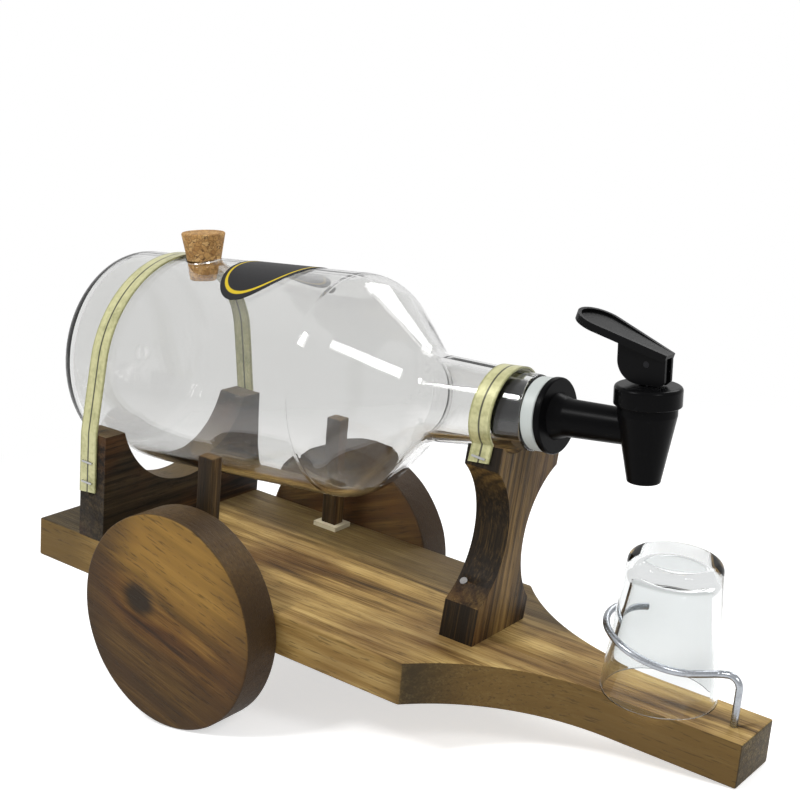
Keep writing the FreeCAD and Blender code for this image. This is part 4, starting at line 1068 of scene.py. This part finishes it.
@dataclass
class Screws:
    """Pair of countersunk wood screws under one board, repeated by Geometry Nodes."""

    node: str
    station: float
    spacing: float
    finish: Finish
    sink: float = 0.4
    ridge_share: float = 0.6
    tip_radius: float = 0.05
    sides: int = 32
    sharp: float = 35.0
    sizes: dict[str, float] = field(default_factory=lambda: {
        "Head Radius": 3.6, "Head Depth": 2.4, "Core Radius": 1.25, "Crest Radius": 1.72,
        "Length": 32.6, "Tip Length": 4.0, "Thread Pitch": 1.5, "Recess Length": 3.6, "Recess Width": 0.8,
    })

    def _tree(self) -> bpy.types.NodeTree:
        """Build the node tree: one screw, set on two points.

        Returns:
            The tree, with each size as a named input.
        """
        tree = bpy.data.node_groups.new(self.node + "_tree", "GeometryNodeTree")
        graph = Graph(tree)
        for name in (*self.sizes, "Spacing"):
            tree.interface.new_socket(name=name, in_out="INPUT", socket_type="NodeSocketFloat")
        tree.interface.new_socket(name="Geometry", in_out="OUTPUT", socket_type="NodeSocketGeometry")

        def size(name: str) -> Value:
            """Return a named input."""
            return graph.node("NodeGroupInput", {}, {}, output=name)

        def cone(low: Value, high: "Value | float", depth: Value) -> Value:
            """Return a cone with its wide end at the origin."""
            values = {"Vertices": self.sides, "Radius Bottom": low, "Radius Top": high, "Depth": depth}
            return graph.node("GeometryNodeMeshCone", {}, values)

        def spot(**axes: Value) -> Value:
            """Return a vector from the axes that are given."""
            return graph.node("ShaderNodeCombineXYZ", {}, axes)

        def bar(long: str, wide: str) -> Value:
            """Return one arm of the cross recess, long and wide along the named axes."""
            sides = {long: size("Recess Length"), wide: size("Recess Width")}
            return graph.node("GeometryNodeMeshCube", {}, {"Size": spot(**sides, Z=size("Head Depth"))})

        core, crest, pitch = size("Core Radius"), size("Crest Radius"), size("Thread Pitch")
        shaft = size("Length") - size("Tip Length")
        head = cone(size("Head Radius"), core, size("Head Depth"))
        recess = [bar("X", "Y"), bar("Y", "X")]
        head = graph.node("GeometryNodeMeshBoolean", {"operation": "DIFFERENCE"}, {0: head, 1: recess})
        turns = graph.node("GeometryNodeMeshLine", {}, {
            "Count": ((shaft - size("Head Depth")) / pitch).maths("FLOOR"),
            "Start Location": spot(Z=size("Head Depth")),
            "Offset": spot(Z=pitch),
        })
        ridge = cone(crest, core, pitch * self.ridge_share)
        thread = graph.node("GeometryNodeInstanceOnPoints", {}, {"Points": turns, "Instance": ridge})
        tip = cone(core, self.tip_radius, size("Tip Length"))
        tip = graph.node("GeometryNodeTransform", {}, {"Geometry": tip, "Translation": spot(Z=shaft)})
        screw = graph.node("GeometryNodeJoinGeometry", {}, {0: [head, cone(core, core, shaft), tip, thread]})
        places = graph.node("GeometryNodeMeshLine", {}, {
            "Count": 2,
            "Start Location": spot(Y=size("Spacing") * -0.5),
            "Offset": spot(Y=size("Spacing")),
        })
        pair = graph.node("GeometryNodeInstanceOnPoints", {}, {"Points": places, "Instance": screw})
        solid = graph.node("GeometryNodeRealizeInstances", {}, {0: pair})
        values = {"Geometry": solid, "Material": self.finish.material()}
        done = graph.node("GeometryNodeSetMaterial", {}, values)
        graph.node("NodeGroupOutput", {}, {0: done})
        return tree

    def build(self) -> None:
        """Evaluate the tree and keep its plain mesh as the pair of screws."""
        tree = self._tree()
        holder = bpy.data.objects.new(self.node + "_maker", bpy.data.meshes.new(self.node + "_seed"))
        bpy.context.scene.collection.objects.link(holder)
        maker = holder.modifiers.new("screws", "NODES")
        maker.node_group = tree
        sizes = {**self.sizes, "Spacing": self.spacing}
        for item in tree.interface.items_tree:
            if item.in_out == "INPUT":
                maker[item.identifier] = sizes[item.name]
        graph = bpy.context.evaluated_depsgraph_get()
        mesh = bpy.data.meshes.new_from_object(holder.evaluated_get(graph))
        holder.modifiers.remove(maker)
        bpy.data.objects.remove(holder)
        mesh.transform(moved(DECK, (self.station, 0.0, self.sink - STANCE.deck_thickness)))
        mesh.shade_smooth()
        mesh.set_sharp_from_angle(angle=math.radians(self.sharp))
        add_piece(self.node + "_turned", mesh, self.finish, Body.CART, (self.node,))


@dataclass
class Fixings:
    """Bands, staples, screws, nails and glue."""

    lacquer: tuple[Colour, Colour, Colour] = ((208, 205, 154), (140, 140, 90), (44, 42, 28))
    rear_band_station: float = 33.2
    neck_band_station: float = 218.6
    neck_band_slope: float = 0.1763
    saddle_screws: Flat = (34.5, 54.0)
    post_screws: Flat = (222.5, 18.0)

    def build(self) -> None:
        """Dress the fixings."""
        band = Lacquered("strap_metal", DECK, *self.lacquer, 0, self.rear_band_station)
        neck_band = Lacquered(
            "neck_strap_metal", BOTTLE, *self.lacquer, 0, self.neck_band_station, self.neck_band_slope
        )
        dress("rear_strap", band)
        dress("front_strap", neck_band)
        staple = Metal("staple_steel", DECK, (196, 196, 198), 0.28)
        dress("rear_strap_staples", staple)
        dress("front_strap_staples", staple)
        screw = Metal("screw_steel", DECK, (198, 190, 160), 0.35)
        Screws("saddle_screws", *self.saddle_screws, screw).build()
        Screws("post_screws", *self.post_screws, screw).build()
        dress("post_nails", Metal("nail_steel", DECK, (150, 148, 146), 0.4))
        dress("stake_glue", Moulded("dried_glue", DECK, (196, 186, 158), 0.5, 0.15, 0.1))


@dataclass
class Studio:
    """Pale floor, soft lights, pale world and the camera."""

    focal: float = 1570.78
    centre: Flat = (386.13, 384.38)
    frame_size: float = 800.0
    sensor: float = 36.0
    eye: Point = (547.8, -542.9, 288.8)
    right: Point = (0.7985, 0.5969, 0.0781)
    up: Point = (-0.2271, 0.1785, 0.9573)
    floor_size: float = 30.0
    floor_drop: float = 0.0003
    floor_grey: float = 0.8
    floor_glow: float = 0.6
    floor_fade: Flat = (0.3, 0.7)
    ambient: float = 0.45
    mirrored: float = 0.8
    aim: Point = (0.0, 0.0, 0.1)
    reach: Flat = (0.01, 50.0)
    lights: tuple = field(default_factory=lambda: (
        ("key_light", (-0.5, -1.1, 1.5), 0.36, 15.0),
        ("side_light", (1.3, -0.5, 1.0), 0.4, 7.0),
        ("back_light", (0.2, 1.4, 1.3), 0.7, 8.0),
    ))

    def add_floor(self) -> None:
        """Add the floor: pale, with the object's shadow, and white to the camera."""
        bpy.ops.mesh.primitive_plane_add(size=self.floor_size, location=(0, 0, -self.floor_drop))
        floor = bpy.context.object
        floor.name = "floor"
        made = bpy.data.materials.new("floor_paper")
        made.use_nodes = True
        graph = Graph(made.node_tree)
        at = graph.node("ShaderNodeTexCoord", {}, {}, output="Object")
        grey = (self.floor_grey, self.floor_grey, self.floor_grey, 1.0)
        paper = graph.node("ShaderNodeBsdfDiffuse", {}, {"Color": grey})
        glow = graph.node("ShaderNodeEmission", {}, {"Color": WHITE, "Strength": self.floor_glow})
        near = graph.node("ShaderNodeAddShader", {}, {0: paper, 1: glow})
        white = graph.node("ShaderNodeEmission", {}, {"Color": WHITE, "Strength": 1.0})
        reach = graph.node("ShaderNodeVectorMath", {"operation": "LENGTH"}, {0: at}, output="Value")
        away = reach.ramp(*self.floor_fade)
        kinds = ("Is Camera Ray", "Is Glossy Ray", "Is Transmission Ray")
        seen = [graph.node("ShaderNodeLightPath", {}, {}, output=kind) for kind in kinds]
        shown = (seen[0] + seen[1] + seen[2]).maths("MINIMUM", 1.0)
        plain = graph.node("ShaderNodeMixShader", {}, {0: shown, 1: paper, 2: near})
        graph.finish(graph.node("ShaderNodeMixShader", {}, {0: away * shown, 1: plain, 2: white}))
        floor.data.materials.append(made)

    def add_world(self) -> None:
        """Add a world that lights softly and is white behind the object."""
        world = bpy.data.worlds.new("studio")
        bpy.context.scene.world = world
        world.use_nodes = True
        graph = Graph(world.node_tree)
        seen = graph.node("ShaderNodeLightPath", {}, {}, output="Is Camera Ray")
        glossy = graph.node("ShaderNodeLightPath", {}, {}, output="Is Glossy Ray")
        clear = graph.node("ShaderNodeLightPath", {}, {}, output="Is Transmission Ray")
        shown = seen + clear + glossy * self.mirrored
        strength = shown.maths("MAXIMUM", self.ambient).maths("MINIMUM", 1.0)
        values = {"Color": WHITE, "Strength": strength}
        graph.finish(graph.node("ShaderNodeBackground", {}, values), "ShaderNodeOutputWorld")

    def add_lights(self) -> None:
        """Add soft area lights aimed at the cart."""
        for name, spot, width, power in self.lights:
            lamp = bpy.data.lights.new(name, "AREA")
            lamp.size = width
            lamp.energy = power
            holder = bpy.data.objects.new(name, lamp)
            bpy.context.scene.collection.objects.link(holder)
            aim = Vector(self.aim) - Vector(spot)
            holder.matrix_world = Matrix.LocRotScale(Vector(spot), aim.to_track_quat("-Z", "Y"), None)

    def add_camera(self) -> None:
        """Add the camera at the photograph's angle."""
        camera = bpy.data.cameras.new("camera")
        camera.sensor_width = self.sensor
        camera.lens = self.focal / self.frame_size * self.sensor
        camera.shift_x = 0.5 - self.centre[0] / self.frame_size
        camera.shift_y = self.centre[1] / self.frame_size - 0.5
        camera.clip_start, camera.clip_end = self.reach
        turn = DECK.to_3x3().normalized()
        right, up = turn @ Vector(self.right), turn @ Vector(self.up)
        axes = Matrix((right, up, right.cross(up))).transposed().to_4x4()
        holder = bpy.data.objects.new("camera", camera)
        bpy.context.scene.collection.objects.link(holder)
        holder.matrix_world = Matrix.Translation(DECK @ Vector(self.eye)) @ axes
        bpy.context.scene.camera = holder

    def build(self) -> None:
        """Build the whole set."""
        bpy.context.scene.view_settings.view_transform = "Standard"
        self.add_floor()
        self.add_world()
        self.add_lights()
        self.add_camera()


def main() -> None:
    """Build every part in order."""
    logging.basicConfig(level=logging.INFO, format="%(name)s %(message)s")
    for part in (Woodwork(), Wheels(), Bottle(), Tap(), GlassAndWire(), Fixings(), Studio()):
        part.build()
        log.info("%s done", type(part).__name__)


if __name__ == "__main__":
    main()
